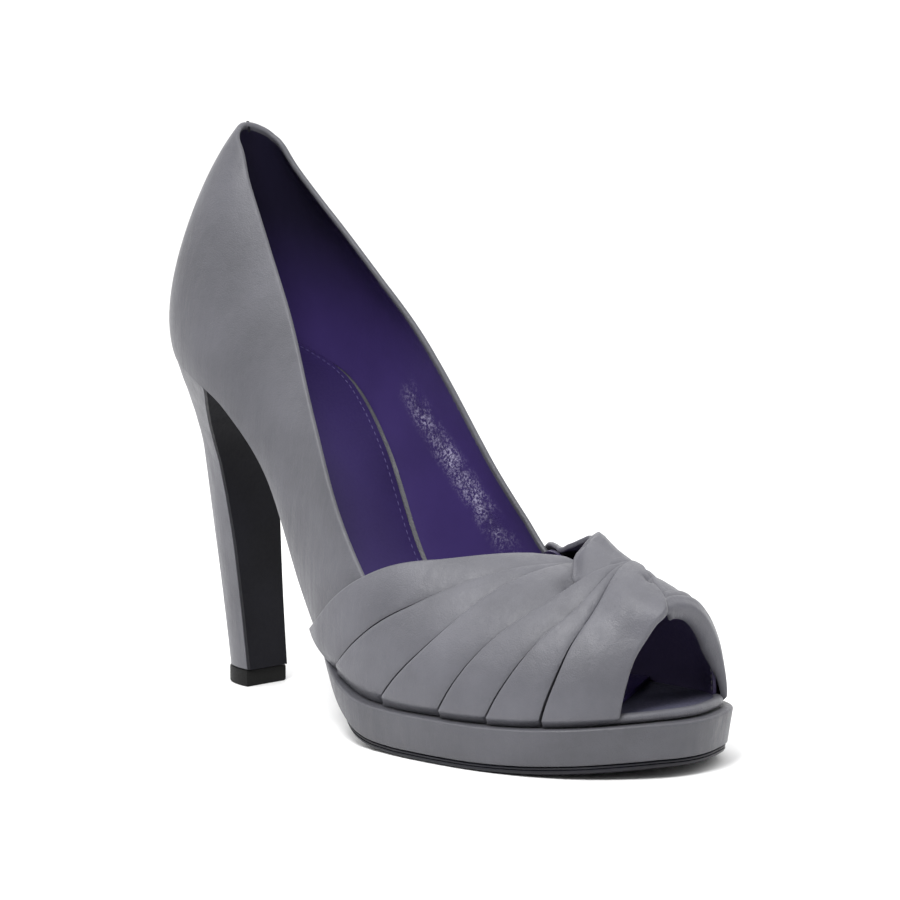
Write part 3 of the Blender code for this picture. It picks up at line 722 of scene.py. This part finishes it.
def satin(name, tone=1.0, paints_fold_shade=False):
    """Grey satin: a soft sheen over a fine weave, a little lighter and darker in broad patches, and when
    asked, painted shade deep in its folds. tone gives a lighter or darker copy of the satin, which is painted
    light and shade."""
    base = np.array(SATIN_COLOUR) * tone
    made = Shader(name, base, 0.44, Sheen_Weight=0.10, Sheen_Roughness=0.35, Specular_IOR_Level=0.42)
    shade = made.patches(base, 40, 6, 0.84, 1.15, (0.32, 0.68), 0.62)
    if paints_fold_shade:
        # Painted shade: the colour darkens deep in the folds, where the attribute is 1
        depth = made.add("Attribute", "Fac", attribute_name="painted_fold_shade")
        shade = made.mix(depth, shade, tuple(base * FOLD_PAINTED_SHADE))
    made.colour(shade)
    streaks = made.noise(1, 4, 0.6, made.stretched((420, 420, 46)))
    made.rough(made.ramp(streaks, (0.30, 0.36), (0.70, 0.54)))
    crumple = made.noise(190, 4, 0.55)
    weave = made.noise(2200, 3, 0.65)
    made.bump((crumple, 0.00026), (streaks, 0.00012), (weave, 0.00013))
    return made.material


def purple_leather(name, colour, low_roughness, high_roughness, coat, crinkle_and_painted_glint=None):
    """Smooth glazed lining leather with a fine grain; the optional band is given as start, end and width:
    there the leather is crinkled by a bump and carries painted glints, which are a painted reflection, and
    with it the lining gets painted shade towards its top."""
    base = np.array(colour)
    made = Shader(name, base, high_roughness, Coat_Weight=coat, Coat_Roughness=0.25, Specular_IOR_Level=0.3)
    shade = made.patches(base, 34, 5, 0.86, 1.14)
    grain = made.noise(1100, 3, 0.6)
    made.rough(made.ramp(grain, (0.35, low_roughness), (0.65, high_roughness)))
    heights = [(made.noise(70, 2), 0.00012), (grain, 0.00003)]
    if crinkle_and_painted_glint:
        band = made.band(*crinkle_and_painted_glint)
        heights.append((made.multiply(band, made.noise(1300, 4, 0.7)), 0.0005))
        # Painted reflection: light specks in patches along the band
        painted_glint_patches = made.multiply(band, made.between(made.noise(130, 4, 0.7), 0.36, 0.60))
        painted_glints = made.multiply(painted_glint_patches, made.between(made.noise(1250, 3, 0.7), 0.44, 0.62))
        # Painted shade: the lining darker towards its top
        shade = made.mix(made.between(made.height(), *LINING_PAINTED_SHADE_HEIGHTS), shade, LINING_PAINTED_SHADE_COLOUR)
        shade = made.mix(painted_glints, shade, PAINTED_GLINT_COLOUR)
    made.colour(shade)
    made.bump(*heights)
    return made.material


def black_leather(name, roughness, tone=1.0, shine=0.12):
    base = np.array(BLACK_COLOUR) * tone
    made = Shader(name, base, roughness, Specular_IOR_Level=shine)
    grain = made.noise(900)
    made.rough(made.ramp(grain, (0.35, roughness - 0.06), (0.65, roughness + 0.08)))
    made.colour(made.patches(base, 45, 3, 0.75, 1.25))
    made.bump((grain, 0.00006))
    return made.material


def black_rubber():
    made = Shader("black_top_piece_rubber", (0.006, 0.006, 0.006), 0.5, Specular_IOR_Level=0.1)
    speckle = made.noise(1500, 2)
    made.rough(made.ramp(speckle, (0.3, 0.44), (0.7, 0.60)))
    made.colour(made.ramp(speckle, (0.3, 0.006), (0.7, 0.010)))
    made.bump((speckle, 0.00005))
    return made.material


def thread(name, colour):
    made = Shader(name, colour, 0.6)
    made.colour(made.patches(np.array(colour), 3000, 2, 0.8, 1))
    made.bump((made.noise(3000, 2), 0.00005))
    return made.material


# The vamp: two pleated cloths that twist round each other on the ridge

def over_ridge(share, turn, side):
    """(station, up, side) for a share from rear to front edge and a turn, which is 0 at the cloth's own sole,
    1 on the ridge and more than 1 past it."""
    up = np.where(turn <= 1, turn, 2 - turn)
    own = np.where(turn <= 1, side, -side)
    rear, front = (
        np.where(own < 0, vamp_edge(which, up, -1), vamp_edge(which, up, 1)) for which in ("rear", "front")
    )
    return rear + (front - rear) * share, up, own


def on_vamp(share, turn, side, relief):
    """Points that stand off the last by relief."""
    station, up, own = over_ridge(share, turn, side)
    lateral = wall_surface(station, up, -1, relief)
    medial = wall_surface(station, up, 1, relief)
    return np.where((own < 0)[..., None], lateral, medial)


def fold_curves(folds, ends, turn):
    """Share of each fold at each turn, with the cloth's rear and front edge first and last."""
    rear, front = by_table(ends, "turn", "rear", turn), by_table(ends, "turn", "front", turn)
    curves = [rear]
    for fold in folds:
        values = np.array(fold, float)
        tips = (2 * values[0] - values[1], 2 * values[-1] - values[-2])
        curves.append(through(values, turn * 3, *tips))
    curves.append(front)
    for k in range(1, len(curves) - 1):
        curves[k] = np.maximum(curves[k], curves[k - 1] + LEAST_FOLD)
    for k in range(len(curves) - 2, 0, -1):
        curves[k] = np.minimum(curves[k], curves[k + 1] - LEAST_FOLD)
    return np.array(curves)


def pleated(folds, ends, turn):
    """Shares and pleat heights of all columns, for an array of turns: two arrays, turns by columns."""
    curves = fold_curves(folds, ends, turn)
    shares, heights = [], []
    panels = len(curves) - 1
    for k in range(panels):
        width = curves[k + 1] - curves[k]
        full = np.clip(width / 0.07, 0.25, 1)
        for across, height in zip(PLEAT["across"], PLEAT["height"]):
            level = height
            if k == 0 and across < 0.1:
                level = 1.0
            if k == panels - 1 and across > 0.6:
                level = 0.5
            billow = BILLOW * math.sin(math.pi * across)
            shares.append(curves[k] + width * across)
            heights.append((level + billow) * full)
    shares.append(curves[-1])
    heights.append(np.full(turn.shape, 0.5))
    return np.stack(shares, -1), np.stack(heights, -1)


def lateral_relief(share, turn, height, curves):
    """How far the outer cloth's lateral half stands off the last."""
    rear_fold, front_fold = curves[3][:, None], curves[5][:, None]
    pleats = PLEAT_DEPTH * height * (0.60 + 0.40 * smooth(1.0, 0.70, turn))
    ahead = np.maximum(share - front_fold, 0)
    behind = np.maximum(rear_fold - share, 0)
    near_knot = np.exp(-((ahead / 0.16) ** 2)) * np.exp(-((behind / 0.018) ** 2))
    gather = GATHER * smooth(0.56, 1.0, turn) * near_knot
    lobe = LOBE * smooth(0.50, 0.74, turn) * smooth(0.0, 0.16, share - front_fold)
    dimple = DIMPLE * hump(0.765, 0.022, share) * hump(0.925, 0.016, turn)
    past = turn - np.interp(share, UNDER_TWIST["share"], UNDER_TWIST["turn"])
    tucked = smooth(-0.01, 0.05, past) * smooth(0.0, 0.012, rear_fold - share)
    in_pocket = smooth(0.0, 0.016, rear_fold - share) * hump(0.46, 0.08, share)
    pocket = POCKET * hump(-0.015, 0.045, past) * in_pocket
    sole_tuck = LATERAL_TUCK * smooth(0.045, 0.0, turn) * smooth(0.02, 0.13, share)
    relief = np.maximum(VAMP_WALL + pleats + gather + lobe - dimple - pocket - sole_tuck, LEAST_RELIEF)
    return relief * (1 - tucked) + UNDER_TWIST_RELIEF * tucked


def medial_relief(share, turn, height, curves):
    """How far the medial cloth stands off the last; past the ridge it is the rounded wrap of the twist."""
    flat = smooth(0.50, 0.70, share) * smooth(0.04, 0.30, turn)
    pleats = PLEAT_DEPTH * height * (0.60 + 0.40 * smooth(1.0, 0.70, turn)) * (1 + 0.35 * flat)
    rise = smooth(0.74, 1.0, turn) * (1 - 0.50 * smooth(1.05, 1.25, turn))
    twist = by_table(TWIST, "share", "height", share) / 1000 * rise
    full = VAMP_WALL - FLATTENED * flat + pleats + twist
    edge = by_table(TWIST_EDGE, "turn", "height", turn) / 1000
    inside = smooth(0.0, 0.085, share - curves[0][:, None])
    edge_on = smooth(0.30, 0.46, turn) * (1 - inside)
    relief = full * (1 - edge_on) + np.minimum(edge, full + 0.002) * edge_on
    past = turn - np.interp(share, UNDER_LOBE["share"], UNDER_LOBE["turn"])
    covered = smooth(-0.02, 0.05, past) * smooth(0.55, 0.60, share)
    recess = RECESS * hump(-0.025, 0.03, past) * smooth(0.60, 0.66, share) * smooth(0.95, 0.85, share)
    under_front = smooth(0.97, 1.06, turn) * smooth(0.525, 0.56, share) * smooth(0.64, 0.58, share)
    sole_tuck = MEDIAL_TUCK * smooth(0.05, 0.0, turn)
    relief = np.maximum(relief - recess - sole_tuck, LEAST_RELIEF)
    hidden = np.maximum(covered, under_front)
    return relief * (1 - hidden) + UNDER_LOBE_RELIEF * hidden


def rolled_edge(turn, low, high, full_at):
    """Thickness of the rolled cloth along the toe opening: low at the sole, high from the turn full_at on,
    and low again past the ridge, where the other cloth covers it."""
    return low + (high - low) * smooth(0.03, full_at, turn) * smooth(1.16, 1.06, turn)


def cloth(name, folds, ends, side, relief_of, last_turn, hem, surface, stands_for):
    """One pleated cloth as a closed sheet: outer face, rolled front edge, inner face and rolled rear edge."""
    reach = np.linspace(0, 1, CLOTH_ROWS + 1)
    turn_row = reach * last_turn
    share, height = pleated(folds, ends, turn_row)
    turn = np.broadcast_to(turn_row[:, None], share.shape)
    curves = fold_curves(folds, ends, turn_row)
    relief = relief_of(share, turn, height, curves)
    closing = smooth(last_turn - 0.05, last_turn, turn)
    relief = relief - (relief - CLOTH_END_RELIEF) * closing**2 * 0.8
    near_front = smooth(0.06, 0.0, curves[-1][:, None] - share)
    thickness = SATIN + (rolled_edge(turn, *hem) - SATIN) * near_front
    rear_roll = smooth(0.03, 0.0, share - curves[0][:, None])
    thickness = thickness + (REAR_HEM - SATIN) * rear_roll
    outer = on_vamp(share, turn, side, relief)
    inner = on_vamp(share, turn, side, relief - thickness)
    ahead = [
        unit(outer[:, k] - on_vamp(share[:, k] + inwards, turn[:, k], side, relief[:, k]))
        for k, inwards in ((0, 0.03), (-1, -0.03))
    ]
    front = roll(outer[:, -1], inner[:, -1], ahead[1], 9, HEM_FULLNESS)
    rear = roll(inner[:, 0], outer[:, 0], ahead[0], 5)
    rings = np.concatenate([rear[:, 2:], outer, front, inner[:, ::-1], rear[:, :2]], 1)
    # Painted shade in the folds: how deep each outer point lies in a fold
    painted_fold_shade_depth = np.zeros(rings.shape[:2])
    fold_shade_share = np.clip(-height / FOLD_SHADE_FULL_AT, 0, 1)
    first = rear.shape[1] - 2
    painted_fold_shade_depth[:, first : first + outer.shape[1]] = fold_shade_share
    ring_piece(name, rings, surface, stands_for, painted_fold_shade_depth=painted_fold_shade_depth)


def make_vamp(surface, thread_surface):
    cloth(
        "vamp_lateral_satin", LATERAL_FOLDS, LATERAL_END, -1, lateral_relief, 1.04, LATERAL_HEM,
        surface, ("upper",),
    )
    cloth(
        "vamp_medial_satin", MEDIAL_FOLDS, MEDIAL_END, 1, medial_relief, 1.25, MEDIAL_HEM,
        surface, ("vamp_knot",),
    )
    turns = np.linspace(0.05, 0.70, 60)
    hem = on_vamp(np.full(60, 0.93), turns, 1, np.full(60, -LINING_SINK - 0.0001))
    stitches("toe_opening_stitches", hem, *HEM_STITCH, thread_surface, "grey_satin")


def make_vamp_lining(surface):
    """The leather behind the pleats, one arch from sole to sole."""
    turns = np.linspace(0, 1, 41)
    shares = np.linspace(0.015, 0.95, 30)
    arch = [(t, -1) for t in turns] + [(t, 1) for t in turns[-2::-1]]
    rings = []
    for up, side in arch:
        up_row = np.full(shares.shape, up)
        rear, front = vamp_edge("rear", up_row, side), vamp_edge("front", up_row, side)
        station = rear + (front - rear) * shares
        outer = wall_surface(station, up_row, side, np.full(shares.shape, LINING - LINING_SINK))
        inner = wall_surface(station, up_row, side, np.full(shares.shape, -LINING_SINK))
        rings.append(np.concatenate([outer, inner[::-1]]))
    ring_piece("vamp_lining", np.array(rings), surface)


# Quarters

def quarter_grid(side, count, up_share):
    """(station, up) for rows along the quarter, which run on under the vamp, and columns up_share of the way
    to the collar."""
    corner_station, corner_up = throat(side)
    ahead = np.linspace(0, 1, count + 1)[:, None]
    band = up_share[None, :]
    edge = vamp_edge("rear", band * corner_up, side) + UNDER_VAMP
    station = ahead * edge
    collar = collar_up(np.minimum(station, corner_station), side)
    up = band * collar
    return station, up


def both_sides(rings_of):
    """Rings from the lateral vamp round the back to the medial vamp."""
    lateral, medial = rings_of(-1), rings_of(1)
    return np.concatenate([lateral[::-1], medial[1:]])


def make_quarters(surface):
    """The satin of the quarters, turned over the collar's edge onto the lining, and in at its lower edge."""
    up_share = np.concatenate([np.linspace(0, 0.9, 28), np.linspace(0.92, 1, 6)])

    def rings_of(side):
        station, up = quarter_grid(side, 110, up_share)
        full = np.full(up.shape, QUARTER_WALL)
        seam = BACK_SEAM * hump(0, 0.035, station) * smooth(0.0, 0.05, up)
        outer = wall_surface(station, up, side, full - seam)
        turned_under = (QUARTER_WALL - SATIN) * smooth(0.05, 0.03, up_share)
        behind = wall_surface(station, up, side, full - SATIN - turned_under)
        edge_in = last_surface(station[:, -1:], up[:, -1:], side)[:, 0]
        rising = unit(outer[:, -1] - outer[:, -3])
        over = roll(outer[:, -1], edge_in, rising, 6)
        down = rising * COLLAR_TURN
        inner_lip = np.stack([edge_in, edge_in - down], 1)
        tuck = behind[:, -1:] - down[:, None] * 1.1
        return np.concatenate([outer, over, inner_lip, tuck, behind[:, -3::-1]], 1)

    rings = both_sides(rings_of)
    piece("quarter_satin", rings.reshape(-1, 3), tube_faces(*rings.shape[:2]), surface)


def make_seam_end(surface):
    """The dark end of the back seam's tape, on the collar's peak."""
    top = float(collar_up(0.0, 1))
    over = np.linspace(0, math.pi, 9)
    relief = QUARTER_WALL * (1 + np.cos(over)) / 2
    spine = wall_surface(np.full(9, 0.22), np.full(9, top), 1, relief)
    spine[:, 2] += np.sin(over) * QUARTER_WALL / 2
    below = spine[[0, -1]] - np.array([0, 0, COLLAR_TURN])
    spine = np.concatenate([below[:1], spine, below[1:]])
    around = circle(8)
    rings = []
    for k, spot in enumerate(spine):
        step = unit(spine[min(k + 1, len(spine) - 1)] - spine[max(k - 1, 0)])
        flat = np.sin(around)[:, None] * np.cross(step, (0, 1, 0)) * 0.3
        wide = np.cos(around)[:, None] * (0, 1, 0)
        rings.append(spot + (flat + wide) * TICK_WIDTH)
    ring_piece("back_seam_end", np.array(rings), surface)


def make_quarter_lining(surface):
    up_share = np.linspace(0.045, 0.985, 30)

    def rings_of(side):
        station, up = quarter_grid(side, 90, up_share)
        outer = wall_surface(station, up, side, np.full(up.shape, LINING))
        inner = last_surface(station, up, side)
        return np.concatenate([outer, inner[:, ::-1]], 1)

    ring_piece("quarter_lining", both_sides(rings_of), surface)


# Plates under the foot

def plate(name, stations, profile, surface, stands_for=(), across=10):
    """A plate with a rounded edge. stations are one array, or one for each side; profile is a list of (outset
    by station, height function of x) from the top's edge round to the bottom's; flat faces close it."""
    by_side = {side: stations for side in (-1, 1)} if isinstance(stations, np.ndarray) else stations
    points = []
    for outset, height in profile:
        for side, order in ((-1, 1), (1, -1)):
            plan = outline(by_side[side], side, outset)
            points += list(np.concatenate([plan, height(plan[:, 0])[:, None]], 1)[::order])
    count = 2 * len(by_side[1])
    faces = strip_faces(len(profile), count)
    for start, turned in ((0, False), ((len(profile) - 1) * count, True)):
        for j in range(count // 2 - 1):
            low, high = start + j, start + count - 1 - j
            rows = []
            for k in range(across + 1):
                share = k / across
                near = points[low] * (1 - share) + points[high] * share
                far = points[low + 1] * (1 - share) + points[high - 1] * share
                rows.append((near, far))
            for (a, b), (c, d) in zip(rows, rows[1:]):
                quad = tuple(range(len(points), len(points) + 4))
                points += [a, b, d, c]
                faces.append(quad if turned else quad[::-1])
    return piece(name, points, faces, surface, stands_for)


def rounded(outset, top, bottom, radius, taper=0.0, steps=4):
    """Profile of a plate's edge: from the top round a corner, down, and round the bottom corner, which stands
    out less by taper."""
    rows = []
    for k in range(steps + 1):
        turn = k / steps * math.pi / 2
        inwards = radius * (1 - math.sin(turn))
        rows.append((outset - inwards, lambda x, d=radius * (1 - math.cos(turn)): top(x) - d))
    for k in range(steps + 1):
        turn = k / steps * math.pi / 2
        inwards = radius * (1 - math.cos(turn)) + taper
        rows.append((outset - inwards, lambda x, d=radius * (1 - math.sin(turn)): bottom(x) + d))
    return rows


def stations_between(first, last, step=0.08):
    return np.linspace(first, last, int((last - first) / step) + 1)


def platform_outset(stations):
    share = np.clip(section("platform", stations) / FULL_PLATFORM, 0, 1)
    full = VAMP_WALL + SOLID_PLEAT_DEPTH + PLATFORM_LIP
    under_vamp = START_INSET * smooth(PLATFORM_START + 1.3, PLATFORM_START + 0.3, stations)
    return QUARTER_WALL + (full - QUARTER_WALL) * share - under_vamp


def platform_taper(stations):
    return PLATFORM_TAPER + TOE_TAPER * np.clip(section("spring", stations), 0, 1)


def make_platform(surface):
    stations = stations_between(PLATFORM_START, LAST_STATION)

    def bottom(x):
        return tread_at(x) + OUTSOLE_THICKNESS + GAP / 2

    profile = rounded(platform_outset(stations), seat_at, bottom, 0.0008, platform_taper(stations))
    plate("platform_satin", stations, profile, surface, ("platform",))


def make_outsole(surface):
    start = float(station_at(SEAT_BREAST_X + BREAST_COVER_THICKNESS + 2 * GAP))
    stations = stations_between(start, LAST_STATION)
    share = np.clip(section("platform", stations) / FULL_PLATFORM, 0, 1)
    under_platform = platform_outset(stations) - platform_taper(stations) - OUTSOLE_INSET
    edge = under_platform * share + (QUARTER_WALL - WAIST_INSET) * (1 - share)
    levels = (
        (0.0006, 0.00), (0.0002, 0.04), (0.0000, 0.16), (0.0001, 0.30), (0.0005, 0.37),
        (0.0001, 0.45), (0.0001, 0.60), (0.0005, 0.80), (OUTSOLE_TAPER, 1.00),
    )
    profile = [
        (edge - inset, lambda x, d=drop * OUTSOLE_THICKNESS: tread_at(x) + OUTSOLE_THICKNESS - d)
        for inset, drop in levels
    ]
    plate("outsole_leather", stations, profile, surface, ("outsole",))


def insole_top(x):
    return seat_at(x) + GAP + INSOLE_THICKNESS


def make_insole(surface):
    """The insole's covered board, which shows at the open toe ahead of the sock."""
    stations = stations_between(0, LAST_STATION, 0.1)
    share = smooth(13.7, 14.2, stations)
    edge = -GAP * (1 - share) + RIM_OUTSET * share

    def bottom(x):
        return seat_at(x) + GAP

    def top(x):
        return insole_top(x) - 0.0002

    plate("insole_leather", stations, rounded(edge, top, bottom, 0.0004), surface, ("insole",))


def make_insole_rim(surface):
    """The satin bead round the insole's open toe."""
    lateral = np.linspace(RIM_START[-1], LAST_STATION, 60)
    medial = np.linspace(LAST_STATION, RIM_START[1], 60)[1:]
    stations = np.concatenate([lateral, medial])
    sides = np.concatenate([np.full(60, -1), np.full(59, 1)])
    around = circle(16)
    rings = []
    for station, side in zip(stations, sides):
        at = np.full(len(around), station)
        plan = outline(at, side, RIM_OUTSET + RIM_WIDTH / 2 * np.cos(around))
        middle = outline(at[:1], side, np.array([RIM_OUTSET]))
        z = seat_at(middle[0, 0]) + GAP + (INSOLE_THICKNESS + 0.0002) / 2 * (1 + np.sin(around))
        rings.append(np.concatenate([plan, z[:, None]], 1))
    ring_piece("insole_rim_satin", np.array(rings), surface)


def make_sock(surface, thread_surface):
    """The leather sock, whose front edge slants back towards the inner side."""
    stations = stations_between(0, SOCK_END, 0.1)
    ahead = np.maximum(stations - SOCK_STRAIGHT, 0)
    by_side = {side: stations + ahead * slant for side, slant in SOCK_SLANTS.items()}

    def top(x):
        return insole_top(x) + GAP + SOCK_THICKNESS

    def bottom(x):
        return insole_top(x) - 0.0001

    edge = np.full(len(stations), -3 * GAP)
    plate("sock_leather", by_side, rounded(edge, top, bottom, 0.0003), surface, ("sock",))
    for side, name in ((-1, "lateral"), (1, "medial")):
        plan = outline(stations_between(0.3, 11.0, 0.1), side, -SOCK_STITCH_INSET)
        path = np.concatenate([plan, top(plan[:, 0])[:, None]], 1)
        stitches(f"sock_stitches_{name}", path, *SOCK_STITCH, thread_surface, "purple_leather")


# Heel. Its levels run from the tip up, closer together towards the seat, and the places round each level from
# its back to its front.

HEEL_HEIGHTS = 1 - (1 - np.linspace(0, 1, 50)) ** 1.3
HEEL_SHARES = np.linspace(0, 1, 29)


def heel_level(height):
    """One level of the heel as (lateral, medial) points from its back to the breast's corner."""
    last = float(station_at(SEAT_BREAST_X))
    share = HEEL_SHARES
    angle = share * math.pi / 2
    foot = TOP_PIECE_HEIGHT + GAP
    breast, width, depth, seat = (
        float(by_table(HEEL, "height", name, height)) for name in ("breast", "width", "depth", "seat")
    )
    sides = []
    for side in (-1, 1):
        x = breast * TIP_BREAST_X - depth * TIP_LENGTH * np.cos(angle)
        y = side * width * TIP_WIDTH / 2 * np.sin(angle) ** TIP_ROUNDNESS
        under_foot = outline(share * last, side, QUARTER_WALL - GAP)
        plan = np.stack([x, y], -1)
        plan = plan + (under_foot - plan) * seat
        top = seat_at(under_foot[:, 0])
        z = foot * (1 - height) + top * height
        sides.append(np.concatenate([plan, z[:, None]], 1))
    return sides


def level_rings(levels):
    """Rings that run up the lateral side of each level and back down the medial one."""
    return np.array([np.concatenate([lateral, medial[::-1]]) for lateral, medial in levels])


def make_heel(surface):
    rings = level_rings([heel_level(height) for height in HEEL_HEIGHTS])
    ring_piece("heel_satin", rings, surface, ("heel",), sharp=40)


def make_breast_cover(surface):
    """The leather down the front of the heel."""
    seat = float(seat_at(SEAT_BREAST_X))
    shares = np.linspace(0, 1, 9)[:, None]
    rings = []
    for height in HEEL_HEIGHTS:
        lateral, medial = heel_level(height)
        row = lateral[-1] * (1 - shares) + medial[-1] * shares
        sheets = []
        for ahead in (GAP, GAP + BREAST_COVER_THICKNESS):
            drop = seat - float(seat_at(SEAT_BREAST_X + ahead))
            sheets.append(row + np.array([ahead, 0, -drop * height]))
        rings.append(np.concatenate([sheets[0], sheets[1][::-1]]))
    stands_for = ("heel_breast_cover",)
    ring_piece("heel_breast_leather", np.array(rings), surface, stands_for, sharp=40)


def tip_outline(share, side, outset):
    angle = share * math.pi / 2
    x = TIP_BREAST_X + outset - (TIP_LENGTH + 2 * outset) * np.cos(angle)
    y = side * (TIP_WIDTH / 2 + outset) * np.sin(angle) ** TIP_ROUNDNESS
    return np.stack([x, y], -1)


def make_top_piece(surface):
    profile = (
        (TOP_PIECE_LIP - 0.0005, TOP_PIECE_HEIGHT),
        (TOP_PIECE_LIP - 0.0001, TOP_PIECE_HEIGHT - 0.0002),
        (TOP_PIECE_LIP, TOP_PIECE_HEIGHT - 0.0006),
        (TOP_PIECE_LIP, 0.0005),
        (TOP_PIECE_LIP - 0.0004, 0.0),
    )
    levels = []
    for outset, z in profile:
        sides = [tip_outline(HEEL_SHARES, side, outset) for side in (-1, 1)]
        levels.append([np.insert(points, 2, z, axis=1) for points in sides])
    ring_piece("top_piece_rubber", level_rings(levels), surface, ("top_piece",), sharp=40)


# Stage

def make_stage():
    floor = Shader("pale_floor", (0.90, 0.90, 0.90), 0.9, Specular_IOR_Level=0.1)
    floor.colour(floor.ramp(floor.noise(3, 2), (0.3, 0.895), (0.7, 0.91)))
    far = FLOOR_REACH
    corners = [(-far, -far, 0), (far, -far, 0), (far, far, 0), (-far, far, 0)]
    mesh = bpy.data.meshes.new("floor")
    mesh.from_pydata(corners, [], [(0, 1, 2, 3)])
    obj = placed("floor", mesh)
    mesh.materials.append(floor.material)


def way_round(azimuth, elevation):
    """Direction from the shoe at an angle round it, counted as the camera's is."""
    a, e = math.radians(azimuth), math.radians(elevation)
    return Vector((math.sin(a) * math.cos(e), -math.cos(a) * math.cos(e), math.sin(e)))


def softbox(name, azimuth, elevation, distance, size, power):
    """An area light aimed at the shoe."""
    light = bpy.data.lights.new(name, "AREA")
    light.shape = "RECTANGLE"
    light.size, light.size_y = size
    light.energy = power
    obj = placed(name, light)
    way = way_round(azimuth, elevation)
    obj.location = PIVOT + Vector(STAND) + way * distance
    obj.rotation_euler = (-way).to_track_quat("-Z", "Y").to_euler()


def make_light():
    """A white room that is brightest above and behind the shoe, and softboxes round it."""
    world = bpy.data.worlds.new("studio")
    bpy.context.scene.world = world
    world.use_nodes = True
    tree = world.node_tree
    background = tree.nodes["Background"]
    background.inputs["Color"].default_value = (1, 1, 1, 1)
    place = add_node(tree, "TexCoord", "Generated")
    brightest = way_round(AZIMUTH + 180, ROOM_TILT)
    facing = add_node(tree, "VectorMath", "Value", {0: place, 1: brightest}, operation="DOT_PRODUCT")
    inputs = {"Value": facing, "From Min": -0.3, "From Max": 1.0, "To Min": ROOM_DIM, "To Max": ROOM_BRIGHT}
    tree.links.new(add_node(tree, "MapRange", "Result", inputs), background.inputs["Strength"])
    for name, azimuth, elevation, distance, size, power in SOFTBOXES:
        softbox(name, azimuth, elevation, distance, size, power)
    bpy.context.scene.view_settings.view_transform = "Standard"


def make_camera():
    data = bpy.data.cameras.new("camera")
    data.sensor_width = SENSOR
    data.lens = PIXELS_PER_METRE * DISTANCE / PICTURE_WIDTH * SENSOR
    data.clip_end = 60
    camera = placed("camera", data)
    back = way_round(AZIMUTH, ELEVATION)
    above = back.cross(way_round(AZIMUTH + 90, 0))
    pivot = PIVOT + Vector(STAND)
    camera.location = pivot + back * DISTANCE
    aim = pivot + above * AIM_ABOVE_PIVOT
    camera.rotation_euler = (aim - camera.location).to_track_quat("-Z", "Y").to_euler()
    bpy.context.scene.camera = camera


def main():
    grey = satin("grey_satin_cloth")
    cover_black = black_leather("black_cover_leather", 0.46)
    # The lining's crinkled band carries painted glints, a painted reflection
    crinkle_and_glint_ends = [last_surface(station, up, 1) + STAND for station, up in CRINKLE_AND_PAINTED_GLINT_FROM_TO]
    crinkle_and_painted_glint = (*crinkle_and_glint_ends, CRINKLE_AND_PAINTED_GLINT_WIDTH)
    # The pleated satin is a lighter copy, painted light; the quarters' and the platform's satins are darker
    # copies, painted shade
    pleated_satin = satin("grey_pleated_satin_painted_light_and_fold_shade", PLEATED_PAINTED_LIGHT, paints_fold_shade=True)
    make_vamp(pleated_satin, thread("grey_thread", GREY_THREAD))
    make_vamp_lining(purple_leather("dark_toe_lining_leather", TOE_LINING_COLOUR, 0.40, 0.55, 0.0))
    make_quarters(satin("grey_quarter_satin_painted_shade", QUARTER_PAINTED_SHADE))
    make_seam_end(cover_black)
    make_quarter_lining(purple_leather("purple_lining_leather_painted_glint_and_shade", LINING_COLOUR, 0.30, 0.38, 0.20, crinkle_and_painted_glint))
    make_platform(satin("grey_platform_satin_painted_shade", PLATFORM_PAINTED_SHADE))
    make_outsole(black_leather("black_sole_leather", 0.40, 1.6, 0.25))
    make_insole(black_leather("dark_grey_insole_leather", 0.50, 10.0, 0.25))
    make_insole_rim(grey)
    sock = purple_leather("purple_sock_leather", PURPLE_COLOUR, 0.46, 0.60, 0.0)
    make_sock(sock, thread("purple_thread", PURPLE_THREAD))
    make_heel(grey)
    make_breast_cover(cover_black)
    make_top_piece(black_rubber())
    make_stage()
    make_light()
    make_camera()


main()
